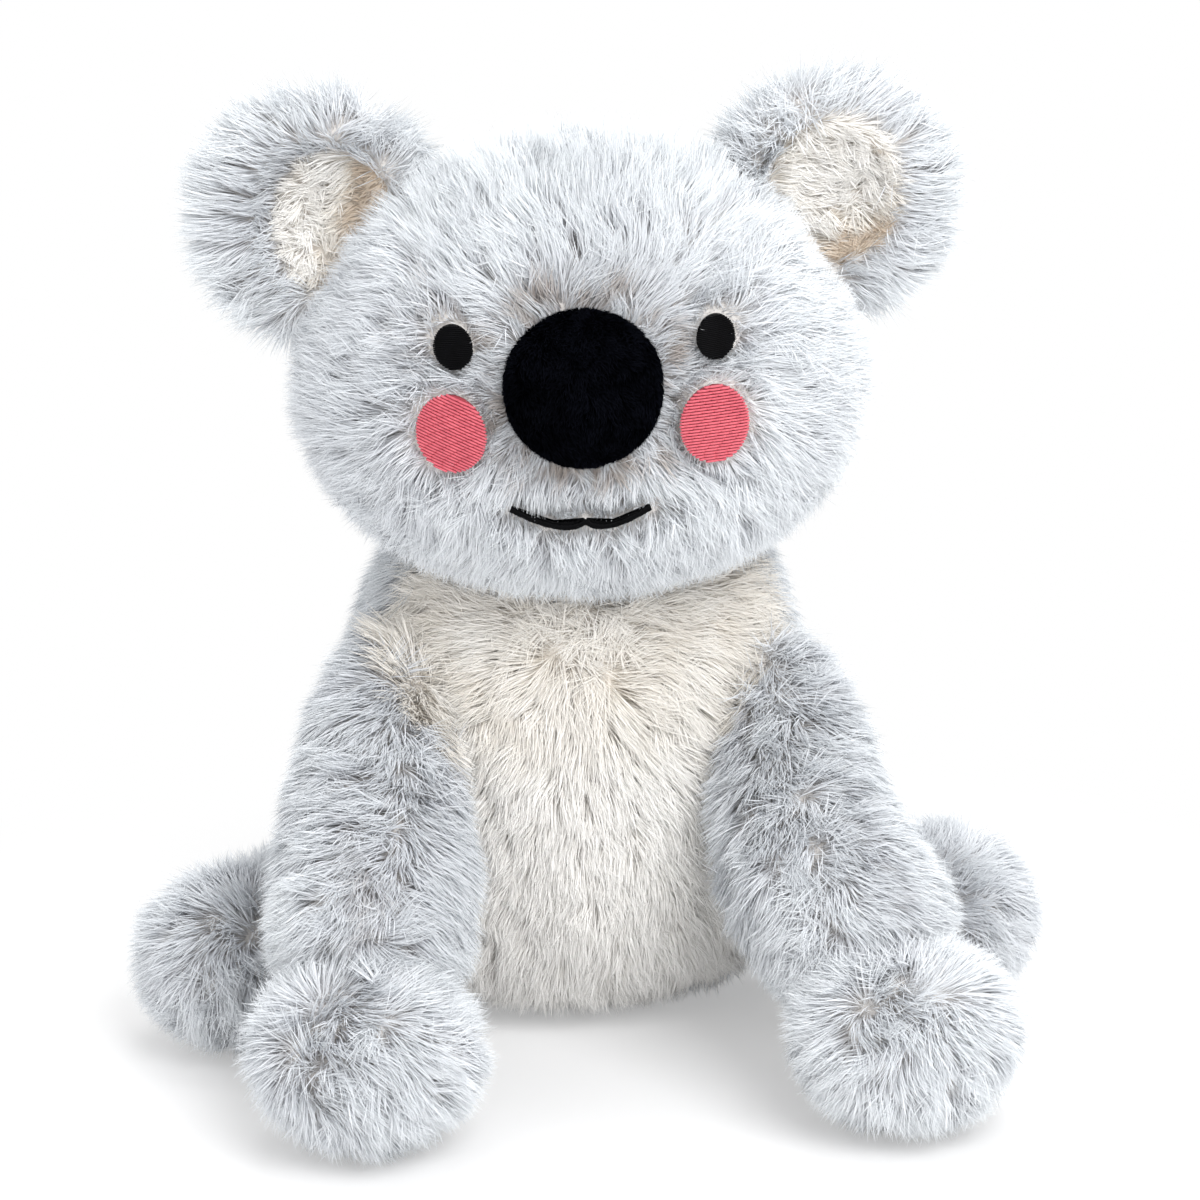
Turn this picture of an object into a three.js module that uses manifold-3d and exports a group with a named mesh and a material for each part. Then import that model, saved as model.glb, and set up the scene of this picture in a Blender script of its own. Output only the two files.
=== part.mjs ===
// Plush hot water bottle: a seated stuffed koala with a small rubber bottle in a pocket in its back.
// Millimetres, +Z up, the face looks along -Y and +X is to the right of someone who looks at the face.
// The toy's own origin is on the floor below the middle of the head; at the end the whole toy is moved
// so that the origin is the middle of the floor area under its bounding box.
// Fur fabric is a layer as thick as its backing and pile together, so each outer face is the mean
// surface of the fur.
import * as THREE from 'three';
import { mergeVertices } from 'three/addons/utils/BufferGeometryUtils.js';
import Module from 'manifold-3d';

// Fabrics and clearances
const seamGap = 0.3; // between pieces that touch
const furThickness = 9; // backing and pile of the fur fabric
const floorCut = 0.5; // how deep a rounded foot is pressed flat by the floor

// Facets round a limb, outside and for what the skin hides
const outerSides = 14;
const innerSides = 8;
const ovalSides = 14; // round an embroidered eye or cheek
const bottleSides = 20;
const threadSteps = 10; // in one turn

// Head, measured from its own centre
const headHalfWidth = 81;
const headHalfDepth = 59;
const headRise = 68; // centre to crown
const headDrop = 68; // centre to underside
const cheekFullness = 0.07; // how much the low cheeks swell
const headShift = [-1, -6]; // middle of the head in X and Y
const headSink = 45; // how far the head is pushed down over the top of the body
const headYaw = -4; // degrees, the face turns a little to the viewer's left
const headRoll = -2; // degrees, the right ear sits a little higher
const neckRadius = 27; // opening where the head's filling meets the body's
const neckReach = 60; // half height of the round space that joins the two fillings

// Face, as places on the front of the head
const noseHalf = [22.5, 15, 23]; // half width, depth and height of the nose pad
const noseRise = 8;
const noseSet = 3; // how far the middle of the pad lies behind the fur's surface
const eyeHalf = [5.8, 6.5];
const eyeSpread = 38;
const eyeRise = 19;
const cheekHalf = [9.8, 11.4];
const cheekSpread = 38;
const cheekRise = -6;
const mouthHalfWidth = 20;
const mouthRise = -35;
const mouthLift = 6; // the corners are this much above mouthRise
const mouthMiddleLift = 0.8; // so is the middle, where the two arcs meet
const mouthSag = 2.4; // how far each arc is drawn down between them
const mouthSagAt = 0.42; // and where, as a share of the half width
const mouthGap = 0.8; // between the two arcs at the middle
const stitchWidth = 2;
const stitchProud = 0.5; // embroidery above the fur's mean surface
const stitchDepth = 2.5; // embroidery below it

// Ears
const earHalf = [38, 15, 38]; // half width, thickness and height of one ear
const earSideIn = 5; // middle of the ear, inwards from the head's side
const earTopDown = 21; // and down from the crown
const earSetBack = 12; // behind the head's centre
const earTurn = 12; // degrees, each ear opens a little outwards
const earBowlHalf = [23, 13, 26]; // hollow in the ear's front
const earBowlForward = 12; // middle of that hollow, in front of the ear's middle
const earBowlIn = 5; // towards the head
const earPanelThickness = 5;
const earPanelInset = 2; // the panel's rim lies this far inside the pad's outer face

// Body
const bodyHalfWidth = 77;
const bodyHalfDepth = 53;
const bodyHeight = 184;
const bodyWidestAt = 0.33; // share of the height
const bodyLowerFullness = 2.6; // 2 would be an ellipse
const bodyUpperFullness = 2.2;
const seatFill = 0.34; // flat seat, as a share of the body's width
const bodySetBack = 18; // middle of the body behind the middle of the head
const bodyBackSquareness = 4; // the bottle flattens the back
const chestPanelBack = 4; // the cream front panel reaches back to this Y

// Limbs, left is -X: points of the middle line, then the paw or foot at its end. The first number of a
// point is how far it lies outside the body's side.
const armRadii = [17, 26, 32, 31];
const pawHalf = [35, 36, 29.5];
const armLine = {
  left: [[-25, 8, 124], [-15, -18, 100], [-10, -54, 66], [-5, -84, 42]],
  right: [[-23, 8, 120], [-17, -18, 96], [-12, -54, 64], [7, -85, 42]],
};
const pawForward = 10; // middle of the paw in front of the arm's end
const legRadii = [24, 27, 27];
const footHalf = [33, 34, 29];
const legLine = {
  left: [[-45, 30, 40], [-5, 6, 34], [30, -12, 30]],
  right: [[-41, 32, 40], [-1, 14, 34], [35, 2, 30]],
};

// Pocket in the back and the flap that closes it
const flapThickness = 7; // fur fabric of the flap
const clothThickness = 1.2; // linings and both halves of the fastener
const windowBottom = 16; // height of the fold at the flap's lower edge
const ledge = 7; // rim round the pocket's mouth that carries the fastener
const ledgeBottom = 2;
const windowCorner = 20;
const windowMiddleUp = 46.5; // its widest place above the bottle's foot
const windowBottomIn = 6; // how much narrower than there it is at the bottom
const windowTopOut = 22; // how much wider than the stopper it is at the top
const windowFlare = 2; // how much the sides have spread where the lower corners end
const windowShoulder = 6; // how far the upper corners start outside the top's half width
const pocketEase = 0.8; // between the bottle and the pocket's front wall
const pocketSideEase = 2.8; // between the bottle and the pocket's sides
const pocketTopEase = 2.7; // above the stopper when it is unscrewed
const backRoom = 16.5; // from the bottle's back to the fur's outer face
const liningInset = 1.4; // the flap's lining is cut this much smaller than the opening
const closureEase = 1; // the filling stays this far outside the opening where the closure lies
const stripWidth = 4.5;
const stripTopLength = 44;
const stripSideLength = 50;

// Rubber bottle, standing in the pocket
const bottleHalfWidth = 49;
const bottleHalfThickness = 16.5;
const bottleBodyHeight = 79;
const bottleWall = 2.5;
const bottleLowerFullness = 3; // 2 would be an ellipse
const bottleUpperFullness = 5;
const bottleEdgeFullness = 2.6;
const bottleFootHalf = [12, 3]; // half width and half thickness of the lower seam's straight part
const shoulderSpread = 6; // how much wider than the neck the shoulder is
const shoulderThin = 2; // and how much thinner
const neckOuterRadius = 14;
const neckBoreRadius = 11;
const neckHeight = 13; // straight part of the neck above the shoulder
const shoulderHeight = 4; // from the body up to the neck
const threadPitch = 4;
const threadCrestRadius = 7.6;
const threadRootRadius = 6.2;
const threadClearance = 0.45;
const ridgeRootHalf = 1.2; // half height of the thread's ridge at its root
const ridgeCrestHalf = 0.5;
const ridgeSink = 1; // how far the ridge reaches into the plug
const stopperLiftHeight = 10; // upwards, in two and a half turns
const plugLength = 11;
const insertFoot = 2; // the brass insert reaches this far below the plug
const washerThickness = 1.5;
const washerOuterRadius = 11;
const gripRadius = 12;
const gripHeight = 10.5;
const gripLobes = 8;
const gripLobeDepth = 0.9;
const gripBevel = 1;

// Places that follow from the sizes above
const headCentre = [...headShift, bodyHeight + headDrop - headSink];
const neckTop = bottleBodyHeight + shoulderHeight + neckHeight; // above the bottle's own foot
const washerLow = neckTop + seamGap;
const gripLow = washerLow + washerThickness + seamGap;
const bottleBottom = windowBottom + ledgeBottom + clothThickness + seamGap;
const bottleY = bodySetBack + bodyHalfDepth - backRoom - bottleHalfThickness;
const pocketFront = bottleY - bottleHalfThickness - pocketEase - clothThickness;
const windowFront = bottleY - bottleHalfThickness / 2; // the opening starts in front of all its layers
const liftedTop = bottleBottom + gripLow + gripHeight + stopperLiftHeight; // of the unscrewed stopper
const windowTop = liftedTop + pocketTopEase + clothThickness + ledge;
const windowMiddle = bottleBottom + windowMiddleUp; // where the opening is widest
const windowHalfMiddle = bottleHalfWidth + pocketSideEase + clothThickness + ledge;
const windowHalfBottom = windowHalfMiddle - windowBottomIn;
const windowHalfTop = gripRadius + windowTopOut;

const wasm = await Module();
wasm.setup();

const radians = THREE.MathUtils.degToRad;

// Closed geometry from rings of points, bottom pole first, each ring counter-clockwise seen from above
function ringedGeometry(first, rings, last) {
  const count = rings[0].length;
  const points = [first, ...rings.flat(), last];
  const faces = [];
  const at = (ring, step) => 1 + ring * count + (step % count);
  for (let step = 0; step < count; step++) {
    faces.push(0, at(0, step + 1), at(0, step));
    faces.push(points.length - 1, at(rings.length - 1, step), at(rings.length - 1, step + 1));
  }
  for (let ring = 0; ring + 1 < rings.length; ring++) {
    for (let step = 0; step < count; step++) {
      const [a, b] = [at(ring, step), at(ring, step + 1)];
      const [c, d] = [at(ring + 1, step + 1), at(ring + 1, step)];
      faces.push(a, b, c, a, c, d);
    }
  }
  const geometry = new THREE.BufferGeometry();
  geometry.setAttribute('position', new THREE.Float32BufferAttribute(points.flat(), 3));
  geometry.setIndex(faces);
  return geometry;
}

// A solid for cutting and joining, and back to a geometry for a mesh
function solid(geometry) {
  const bare = geometry.clone();
  bare.deleteAttribute('normal');
  bare.deleteAttribute('uv');
  const merged = mergeVertices(bare, 1e-4);
  const vertProperties = new Float32Array(merged.getAttribute('position').array);
  const triVerts = new Uint32Array(merged.index.array);
  return new wasm.Manifold(new wasm.Mesh({ numProp: 3, vertProperties, triVerts }));
}

function geometryOf(shape) {
  const { vertProperties, triVerts } = shape.getMesh();
  const geometry = new THREE.BufferGeometry();
  geometry.setAttribute('position', new THREE.BufferAttribute(new Float32Array(vertProperties), 3));
  geometry.setIndex(new THREE.BufferAttribute(new Uint32Array(triVerts), 1));
  return geometry;
}

const moved = (shape, matrix) => shape.transform(matrix.elements);
const box = (size, centre) => solid(new THREE.BoxGeometry(...size).translate(...centre));

// Everything above the floor
const farOut = 400; // beyond the toy on every side
const aboveFloor = box([2 * farOut, 2 * farOut, farOut], [0, 0, farOut / 2]);

// An outline in X and Z, carried through along Y from one depth to another
function throughY(outline, from, to) {
  const settings = { depth: to - from, bevelEnabled: false, curveSegments: 3 };
  const geometry = new THREE.ExtrudeGeometry(outline, settings);
  return solid(geometry.rotateX(Math.PI / 2).translate(0, to, 0));
}

// A ball with three half sizes
function ball(half, centre, sides, rings) {
  const list = [];
  for (let ring = 1; ring < rings; ring++) {
    const down = Math.PI * (1 - ring / rings);
    list.push(Array.from({ length: sides }, (_, step) => {
      const turn = (2 * Math.PI * step) / sides;
      return [
        centre[0] + half[0] * Math.sin(down) * Math.cos(turn),
        centre[1] + half[1] * Math.sin(down) * Math.sin(turn),
        centre[2] + half[2] * Math.cos(down),
      ];
    }));
  }
  const pole = (way) => [centre[0], centre[1], centre[2] + way * half[2]];
  return solid(ringedGeometry(pole(-1), list, pole(1)));
}

const grown = (half, by) => half.map((value) => value + by);
const ringsFor = (sides) => Math.round(sides * 0.67);

// The head about its own centre: wide, with full low cheeks; grow is negative for what lies inside it
function headForm(grow, sides = 24, rings = 14) {
  const list = [];
  for (let ring = 1; ring < rings; ring++) {
    const down = Math.PI * (1 - ring / rings);
    const level = Math.cos(down);
    const low = Math.max(0, 1 - ((level + 0.35) / 0.8) ** 2);
    const width = (headHalfWidth * (1 + cheekFullness * low) + grow) * Math.sin(down) ** 0.92;
    const depth = (headHalfDepth + grow) * Math.sin(down) ** 0.95;
    const height = (level > 0 ? headRise : headDrop) + grow;
    list.push(Array.from({ length: sides }, (_, step) => {
      const turn = (2 * Math.PI * step) / sides;
      return [width * Math.cos(turn), depth * Math.sin(turn), height * level];
    }));
  }
  return solid(ringedGeometry([0, 0, -headDrop - grow], list, [0, 0, headRise + grow]));
}

const headTurn = new THREE.Euler(0, radians(headRoll), radians(headYaw));
const headPlace = new THREE.Matrix4()
  .makeTranslation(...headCentre)
  .multiply(new THREE.Matrix4().makeRotationFromEuler(headTurn));

// The body: an egg that is widest low down, with a squarer back
function bodyForm(grow, sides = 24, rings = 12) {
  const low = -floorCut - grow;
  const high = bodyHeight + grow;
  const list = [];
  for (let ring = 0; ring < rings; ring++) {
    const share = 0.5 - 0.5 * Math.cos((Math.PI * ring) / rings);
    const below = share < bodyWidestAt;
    const off = below ? 1 - share / bodyWidestAt : (share - bodyWidestAt) / (1 - bodyWidestAt);
    const power = below ? bodyLowerFullness : bodyUpperFullness;
    const fill = Math.max((1 - off ** power) ** (1 / power), ring === 0 ? seatFill : 0);
    list.push(Array.from({ length: sides }, (_, step) => {
      const turn = (2 * Math.PI * step) / sides;
      const [across, back] = [Math.cos(turn), Math.sin(turn)];
      const square = back > 0 ? bodyBackSquareness : 2;
      const reach = (Math.abs(across) ** square + Math.abs(back) ** square) ** (-1 / square);
      return [
        (bodyHalfWidth + grow) * fill * reach * across,
        bodySetBack + (bodyHalfDepth + grow) * fill * reach * back,
        low + (high - low) * share,
      ];
    }));
  }
  return solid(ringedGeometry([0, bodySetBack, low], list, [0, bodySetBack, high]));
}

// A limb: a tapering tube with round ends along a smooth line
function limbTube(points, radii, grow, sides, rings) {
  const line = new THREE.CatmullRomCurve3(points.map((p) => new THREE.Vector3(...p)));
  const length = line.getLength();
  const radiusAt = (share) => {
    const place = share * (radii.length - 1);
    const step = Math.min(Math.floor(place), radii.length - 2);
    return THREE.MathUtils.lerp(radii[step], radii[step + 1], place - step) + grow;
  };
  const side = new THREE.Vector3(1, 0, 0);
  const list = [];
  for (let ring = 1; ring < rings; ring++) {
    const share = 0.5 - 0.5 * Math.cos((Math.PI * ring) / rings);
    const fromEnd = Math.min(share, 1 - share) * length;
    const radius = radiusAt(share);
    const round = fromEnd < radius ? Math.sqrt(1 - (1 - fromEnd / radius) ** 2) : 1;
    const centre = line.getPointAt(share);
    const along = line.getTangentAt(share);
    const across = side.clone().addScaledVector(along, -side.dot(along)).normalize();
    const third = new THREE.Vector3().crossVectors(along, across);
    list.push(Array.from({ length: sides }, (_, step) => {
      const turn = (2 * Math.PI * step) / sides;
      return centre.clone()
        .addScaledVector(across, radius * round * Math.cos(turn))
        .addScaledVector(third, radius * round * Math.sin(turn))
        .toArray();
    }));
  }
  return solid(ringedGeometry(points[0], list, points[points.length - 1]));
}

// Points beside the body, from how far they lie outside its side
function besideBody(side, line) {
  const way = side === 'left' ? -1 : 1;
  return line.map(([out, y, z]) => [way * (bodyHalfWidth + out), y, z]);
}

function armForm(side, grow, sides = outerSides) {
  const line = besideBody(side, armLine[side]);
  const [x, y] = line[line.length - 1];
  const paw = [x, y - pawForward, pawHalf[2] - floorCut];
  return limbTube(line, armRadii, grow, sides, ringsFor(sides))
    .add(ball(grown(pawHalf, grow), paw, sides, ringsFor(sides)));
}

function legForm(side, grow, sides = outerSides) {
  const line = besideBody(side, legLine[side]);
  const [x, y] = line[line.length - 1];
  const foot = [x, y, footHalf[2] - floorCut];
  return limbTube(line, legRadii, grow, sides, ringsFor(sides))
    .add(ball(grown(footHalf, grow), foot, sides, ringsFor(sides)));
}

// The toy is a tree of groups; each piece is one named mesh with a finish of its own
const toy = new THREE.Group();
const headGroup = new THREE.Group();
headGroup.applyMatrix4(headPlace);
const bottleGroup = new THREE.Group();
bottleGroup.position.set(0, bottleY, bottleBottom);
toy.add(headGroup, bottleGroup);

const finishes = {
  greyFur: { color: 0xd3d7dd, roughness: 0.95, metalness: 0 },
  creamFur: { color: 0xeee6da, roughness: 0.95, metalness: 0 },
  filling: { color: 0xf4f4f2, roughness: 1, metalness: 0 },
  blackPile: { color: 0x17171b, roughness: 0.9, metalness: 0 },
  blackThread: { color: 0x101013, roughness: 0.5, metalness: 0 },
  pinkThread: { color: 0xe26b80, roughness: 0.5, metalness: 0 },
  lining: { color: 0xc9ccd2, roughness: 0.85, metalness: 0 },
  fastener: { color: 0xdcdde0, roughness: 0.8, metalness: 0 },
  rubber: { color: 0x8fa6b8, roughness: 0.6, metalness: 0 },
  brassInsert: { color: 0xc2a25a, roughness: 0.35, metalness: 1 },
  stopperPlastic: { color: 0xe9e7e2, roughness: 0.4, metalness: 0 },
  blackRubber: { color: 0x2a2a2c, roughness: 0.7, metalness: 0 },
};

function add(name, shape, finish, group = toy) {
  const mesh = new THREE.Mesh(geometryOf(shape), new THREE.MeshStandardMaterial(finishes[finish]));
  mesh.name = name;
  group.add(mesh);
}

// A sewn form: a skin that is open where its filling meets the larger piece, and the filling inside it
function addStuffed(name, form, cutters, group = toy) {
  let skin = form(0, outerSides).intersect(aboveFloor).subtract(form(-furThickness, innerSides));
  let filling = form(-furThickness - seamGap, innerSides).intersect(aboveFloor);
  for (const cutter of cutters) {
    skin = skin.subtract(cutter);
    filling = filling.subtract(cutter);
  }
  add(`${name}_skin`, skin, 'greyFur', group);
  add(`${name}_filling`, filling, 'filling', group);
}

// Head: outer skin with beds for the embroidery, filling with a short neck, and the face
const headOuter = headForm(0);
const headClear = headForm(seamGap);
const neckHole = (radius) => ball([radius, radius, neckReach], [0, bodySetBack / 2, -headDrop], 16, 8);

function ovalOutline(half, x, z) {
  return new THREE.Shape(Array.from({ length: ovalSides }, (_, step) => {
    const turn = (2 * Math.PI * step) / ovalSides;
    return new THREE.Vector2(x + half[0] * Math.cos(turn), z + half[1] * Math.sin(turn));
  }));
}

// One arc of the smile, a band between two curves that share their ends
function smileOutline(way, widen) {
  const half = stitchWidth / 2 + widen;
  const corner = new THREE.Vector2(way * mouthHalfWidth, mouthRise + mouthLift);
  const middle = new THREE.Vector2((way * mouthGap) / 2, mouthRise + mouthMiddleLift);
  const control = new THREE.Vector2(way * mouthHalfWidth * mouthSagAt, mouthRise - mouthSag);
  const points = new THREE.QuadraticBezierCurve(corner, control, middle).getPoints(7);
  const inside = points.map((p, i) => (i === points.length - 1 ? p.clone().setX(p.x - way * widen) : p));
  inside[0] = inside[0].clone().setX(inside[0].x + way * widen);
  const upper = inside.map((p) => new THREE.Vector2(p.x, p.y + half));
  const lower = inside.map((p) => new THREE.Vector2(p.x, p.y - half)).reverse();
  return new THREE.Shape([...upper, ...lower]);
}

const stitched = [
  ['eye_left', (w) => ovalOutline(grown(eyeHalf, w), -eyeSpread, eyeRise), 'blackThread'],
  ['eye_right', (w) => ovalOutline(grown(eyeHalf, w), eyeSpread, eyeRise), 'blackThread'],
  ['cheek_left', (w) => ovalOutline(grown(cheekHalf, w), -cheekSpread, cheekRise), 'pinkThread'],
  ['cheek_right', (w) => ovalOutline(grown(cheekHalf, w), cheekSpread, cheekRise), 'pinkThread'],
  ['mouth_left', (w) => smileOutline(-1, w), 'blackThread'],
  ['mouth_right', (w) => smileOutline(1, w), 'blackThread'],
];
const frontReach = -headHalfDepth - noseHalf[1];
const stitchBand = headForm(stitchProud).subtract(headForm(-stitchDepth));
const stitchFloor = headForm(-stitchDepth - seamGap);
let headSkin = headOuter.subtract(headForm(-furThickness, 14, 9)).subtract(neckHole(neckRadius));
for (const [name, outline, finish] of stitched) {
  add(name, throughY(outline(0), frontReach, 0).intersect(stitchBand), finish, headGroup);
  headSkin = headSkin.subtract(throughY(outline(seamGap), frontReach, 0).subtract(stitchFloor));
}
add('head_skin', headSkin, 'greyFur', headGroup);
add('head_filling', headForm(-furThickness - seamGap, 14, 9)
  .add(neckHole(neckRadius - seamGap).intersect(headForm(-seamGap))), 'filling', headGroup);
const noseCentre = [0, noseSet - headHalfDepth, noseRise];
add('nose', ball(noseHalf, noseCentre, 18, 10).subtract(headClear), 'blackPile', headGroup);

// Ears: a thick round grey pad, hollow in front, with a cream panel in the hollow
for (const [name, way] of [['ear_left', -1], ['ear_right', 1]]) {
  const place = new THREE.Matrix4()
    .makeTranslation(way * (headHalfWidth - earSideIn), earSetBack, headRise - earTopDown)
    .multiply(new THREE.Matrix4().makeRotationZ(radians(way * earTurn)));
  const bowlAt = (forward) => [-way * earBowlIn, -forward, 0];
  const pad = ball(earHalf, [0, 0, 0], 18, 10);
  const bowl = ball(earBowlHalf, bowlAt(earBowlForward), 14, 8);
  const panel = ball(grown(earBowlHalf, -seamGap), bowlAt(earBowlForward), 14, 8)
    .intersect(ball(grown(earHalf, -earPanelInset), [0, 0, 0], 18, 10))
    .subtract(ball(grown(earBowlHalf, -seamGap), bowlAt(earBowlForward + earPanelThickness), 14, 8));
  add(name, moved(pad.subtract(bowl), place).subtract(headClear), 'greyFur', headGroup);
  add(`${name}_panel`, moved(panel, place).subtract(headClear), 'creamFur', headGroup);
}

// Outline of the opening in the back and, drawn in by a rim, of the pocket's mouth
function windowOutline(rim, rimBottom) {
  const corner = windowCorner - rim / 2;
  const bottom = windowBottom + rimBottom;
  const top = windowTop - rim;
  const [low, wide, high] = [windowHalfBottom, windowHalfMiddle, windowHalfTop].map((half) => half - rim);
  const lowBend = bottom + 1.4 * corner; // where the upright sides would meet the lower corners' curves
  const highBend = top - 1.6 * corner; // and the upper ones'
  const shoulder = top - 0.7 * corner;
  const shape = new THREE.Shape();
  shape.moveTo(-low + corner, bottom);
  shape.lineTo(low - corner, bottom);
  shape.quadraticCurveTo(low, bottom, low + windowFlare, bottom + corner);
  shape.quadraticCurveTo(wide, lowBend, wide, windowMiddle);
  shape.quadraticCurveTo(wide, highBend, high + windowShoulder, shoulder);
  shape.quadraticCurveTo(high, top, high - corner, top);
  shape.lineTo(-high + corner, top);
  shape.quadraticCurveTo(-high, top, -high - windowShoulder, shoulder);
  shape.quadraticCurveTo(-wide, highBend, -wide, windowMiddle);
  shape.quadraticCurveTo(-wide, lowBend, -low - windowFlare, bottom + corner);
  shape.quadraticCurveTo(-low, bottom, -low + corner, bottom);
  return shape;
}

// Layers of the closure, counted inwards from the fur's outer face
const backReach = bodySetBack + 2 * bodyHalfDepth;
const layerOuter = {
  flap: 0,
  flapLining: flapThickness + seamGap,
  hook: flapThickness + clothThickness + 2 * seamGap,
  loop: flapThickness + 2 * clothThickness + 3 * seamGap,
  pocketRim: flapThickness + 3 * clothThickness + 4 * seamGap,
};
const layer = (outer, thickness) => bodyForm(-outer).subtract(bodyForm(-outer - thickness));
const behind = (outline) => throughY(outline, windowFront, backReach);

// Body: cream front panel, grey back with the opening, filling round the pocket
const headCut = moved(headClear, headPlace);
const bodyOuter = bodyForm(0);
const bodyClear = bodyForm(seamGap);
const fillingOut = layerOuter.pocketRim + clothThickness + seamGap;
const halfSpace = (from, way) => box([farOut, farOut, 2 * farOut], [0, from + (way * farOut) / 2, 0]);
const frontHalf = halfSpace(chestPanelBack, -1);
const backHalf = halfSpace(chestPanelBack + seamGap, 1);
const bodySkin = bodyOuter
  .subtract(bodyForm(-furThickness, 16, 10))
  .intersect(aboveFloor)
  .subtract(headCut);
add('chest_panel', bodySkin.intersect(frontHalf), 'creamFur');
add('body_skin', bodySkin.intersect(backHalf).subtract(behind(windowOutline(0, 0))), 'greyFur');
const pocketSpace = throughY(
  windowOutline(ledge - seamGap, ledgeBottom - seamGap),
  pocketFront - seamGap,
  backReach,
);
const closureSpace = behind(windowOutline(-closureEase, -closureEase)).subtract(bodyForm(-fillingOut));
add('body_filling', bodyForm(-furThickness - seamGap, 16, 10)
  .subtract(headCut)
  .subtract(closureSpace)
  .subtract(pocketSpace), 'filling');

// Pocket lining: a bag with a rim that lies on the filling round the mouth
const bagOuter = throughY(windowOutline(ledge, ledgeBottom), pocketFront, backReach);
const openingInset = windowOutline(seamGap, seamGap);
const bagInner = throughY(
  windowOutline(ledge + clothThickness, ledgeBottom + clothThickness),
  pocketFront + clothThickness,
  backReach,
);
add('pocket_lining', bagOuter.intersect(bodyForm(-layerOuter.pocketRim))
  .add(layer(layerOuter.pocketRim, clothThickness).intersect(behind(openingInset)))
  .subtract(bagInner), 'lining');

// Flap with its lining, and the two halves of the touch fastener on the top and sides of the rim
add('back_flap', layer(layerOuter.flap, flapThickness).intersect(behind(openingInset)), 'greyFur');
add('flap_lining', layer(layerOuter.flapLining, clothThickness)
  .intersect(behind(windowOutline(liningInset, liningInset))), 'lining');

function stripOutline(width, height, x, z) {
  const shape = new THREE.Shape();
  shape.moveTo(x - width / 2, z - height / 2);
  shape.lineTo(x + width / 2, z - height / 2);
  shape.lineTo(x + width / 2, z + height / 2);
  shape.lineTo(x - width / 2, z + height / 2);
  return shape;
}

const sideStripX = windowHalfMiddle - ledge / 2 - seamGap;
const stripField = behind(windowOutline(3 * seamGap, 3 * seamGap));
const strips = [
  ['top', stripOutline(stripTopLength, stripWidth, 0, windowTop - ledge / 2)],
  ['left', stripOutline(stripWidth, stripSideLength, -sideStripX, windowMiddle)],
  ['right', stripOutline(stripWidth, stripSideLength, sideStripX, windowMiddle)],
];
for (const [name, outline] of strips) {
  const stripPrism = behind(outline).intersect(stripField);
  add(`hook_strip_${name}`, layer(layerOuter.hook, clothThickness).intersect(stripPrism), 'fastener');
  add(`loop_strip_${name}`, layer(layerOuter.loop, clothThickness).intersect(stripPrism), 'fastener');
}

// Limbs
for (const side of ['left', 'right']) {
  const arm = (grow, sides) => armForm(side, grow, sides);
  const leg = (grow, sides) => legForm(side, grow, sides);
  addStuffed(`arm_${side}`, arm, [bodyClear, headCut]);
  addStuffed(`leg_${side}`, leg, [bodyClear, armForm(side, seamGap)]);
}

// Bottle: a flat pillow of rubber with a neck, closed except for the neck's bore
const bottleLevels = [0.02, 0.1, 0.25, 0.42, 0.6, 0.76, 0.88, 0.96, 1]; // shares of the body's height
function bottleRings(shrink) {
  const list = [];
  const neck = shrink > 0 ? neckBoreRadius : neckOuterRadius;
  for (const level of bottleLevels) {
    const height = shrink + (bottleBodyHeight - 2 * shrink) * level;
    const share = Math.abs(2 * level - 1);
    const upper = level > 0.5;
    const power = upper ? bottleUpperFullness : bottleLowerFullness;
    const fill = (1 - share ** power) ** (1 / power);
    const thick = (1 - share ** bottleEdgeFullness) ** (1 / bottleEdgeFullness);
    const least = upper ? [neck + shoulderSpread, neck - shoulderThin] : bottleFootHalf;
    const width = Math.max((bottleHalfWidth - shrink) * fill, least[0]);
    const depth = Math.max((bottleHalfThickness - shrink) * thick, least[1]);
    list.push([height, width, depth]);
  }
  list.push([bottleBodyHeight + shoulderHeight, neck, neck]);
  list.push([neckTop, neck, neck]);
  return list.map(([height, width, depth]) => Array.from({ length: bottleSides }, (_, step) => {
    const turn = (2 * Math.PI * step) / bottleSides;
    return [width * Math.cos(turn), depth * Math.sin(turn), height];
  }));
}

const bottleOuter = bottleRings(0);
const bottleInner = bottleRings(bottleWall).reverse();
add('bottle', solid(ringedGeometry([0, 0, 0], [...bottleOuter, ...bottleInner], [0, 0, bottleWall])),
  'rubber', bottleGroup);

// A helical ridge for the stopper's thread, with a section that is wide at its root
function threadRidge(root, crest, halfRoot, halfCrest, turns, from) {
  const steps = Math.round(turns * threadSteps);
  const sections = [];
  for (let step = 0; step <= steps; step++) {
    const turn = (2 * Math.PI * turns * step) / steps;
    const height = from + threadPitch * turns * (step / steps);
    const spot = (radius, z) => [radius * Math.cos(turn), radius * Math.sin(turn), height + z];
    const inner = [spot(root, -halfRoot), spot(root, halfRoot)];
    const outer = [spot(crest, -halfCrest), spot(crest, halfCrest)];
    sections.push([inner[0], outer[0], outer[1], inner[1]]);
  }
  const points = sections.flat();
  const faces = [0, 1, 2, 0, 2, 3];
  for (let step = 0; step < steps; step++) {
    for (let edge = 0; edge < 4; edge++) {
      const [a, b] = [4 * step + edge, 4 * step + ((edge + 1) % 4)];
      faces.push(a, b + 4, b, a, a + 4, b + 4);
    }
  }
  const end = 4 * steps;
  faces.push(end, end + 2, end + 1, end, end + 3, end + 2);
  const geometry = new THREE.BufferGeometry();
  geometry.setAttribute('position', new THREE.Float32BufferAttribute(points.flat(), 3));
  geometry.setIndex(faces);
  return solid(geometry);
}

function turned(profile, sides = 16) {
  const points = profile.map(([radius, height]) => new THREE.Vector2(radius, height));
  return solid(new THREE.LatheGeometry(points, sides).rotateX(Math.PI / 2));
}

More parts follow.
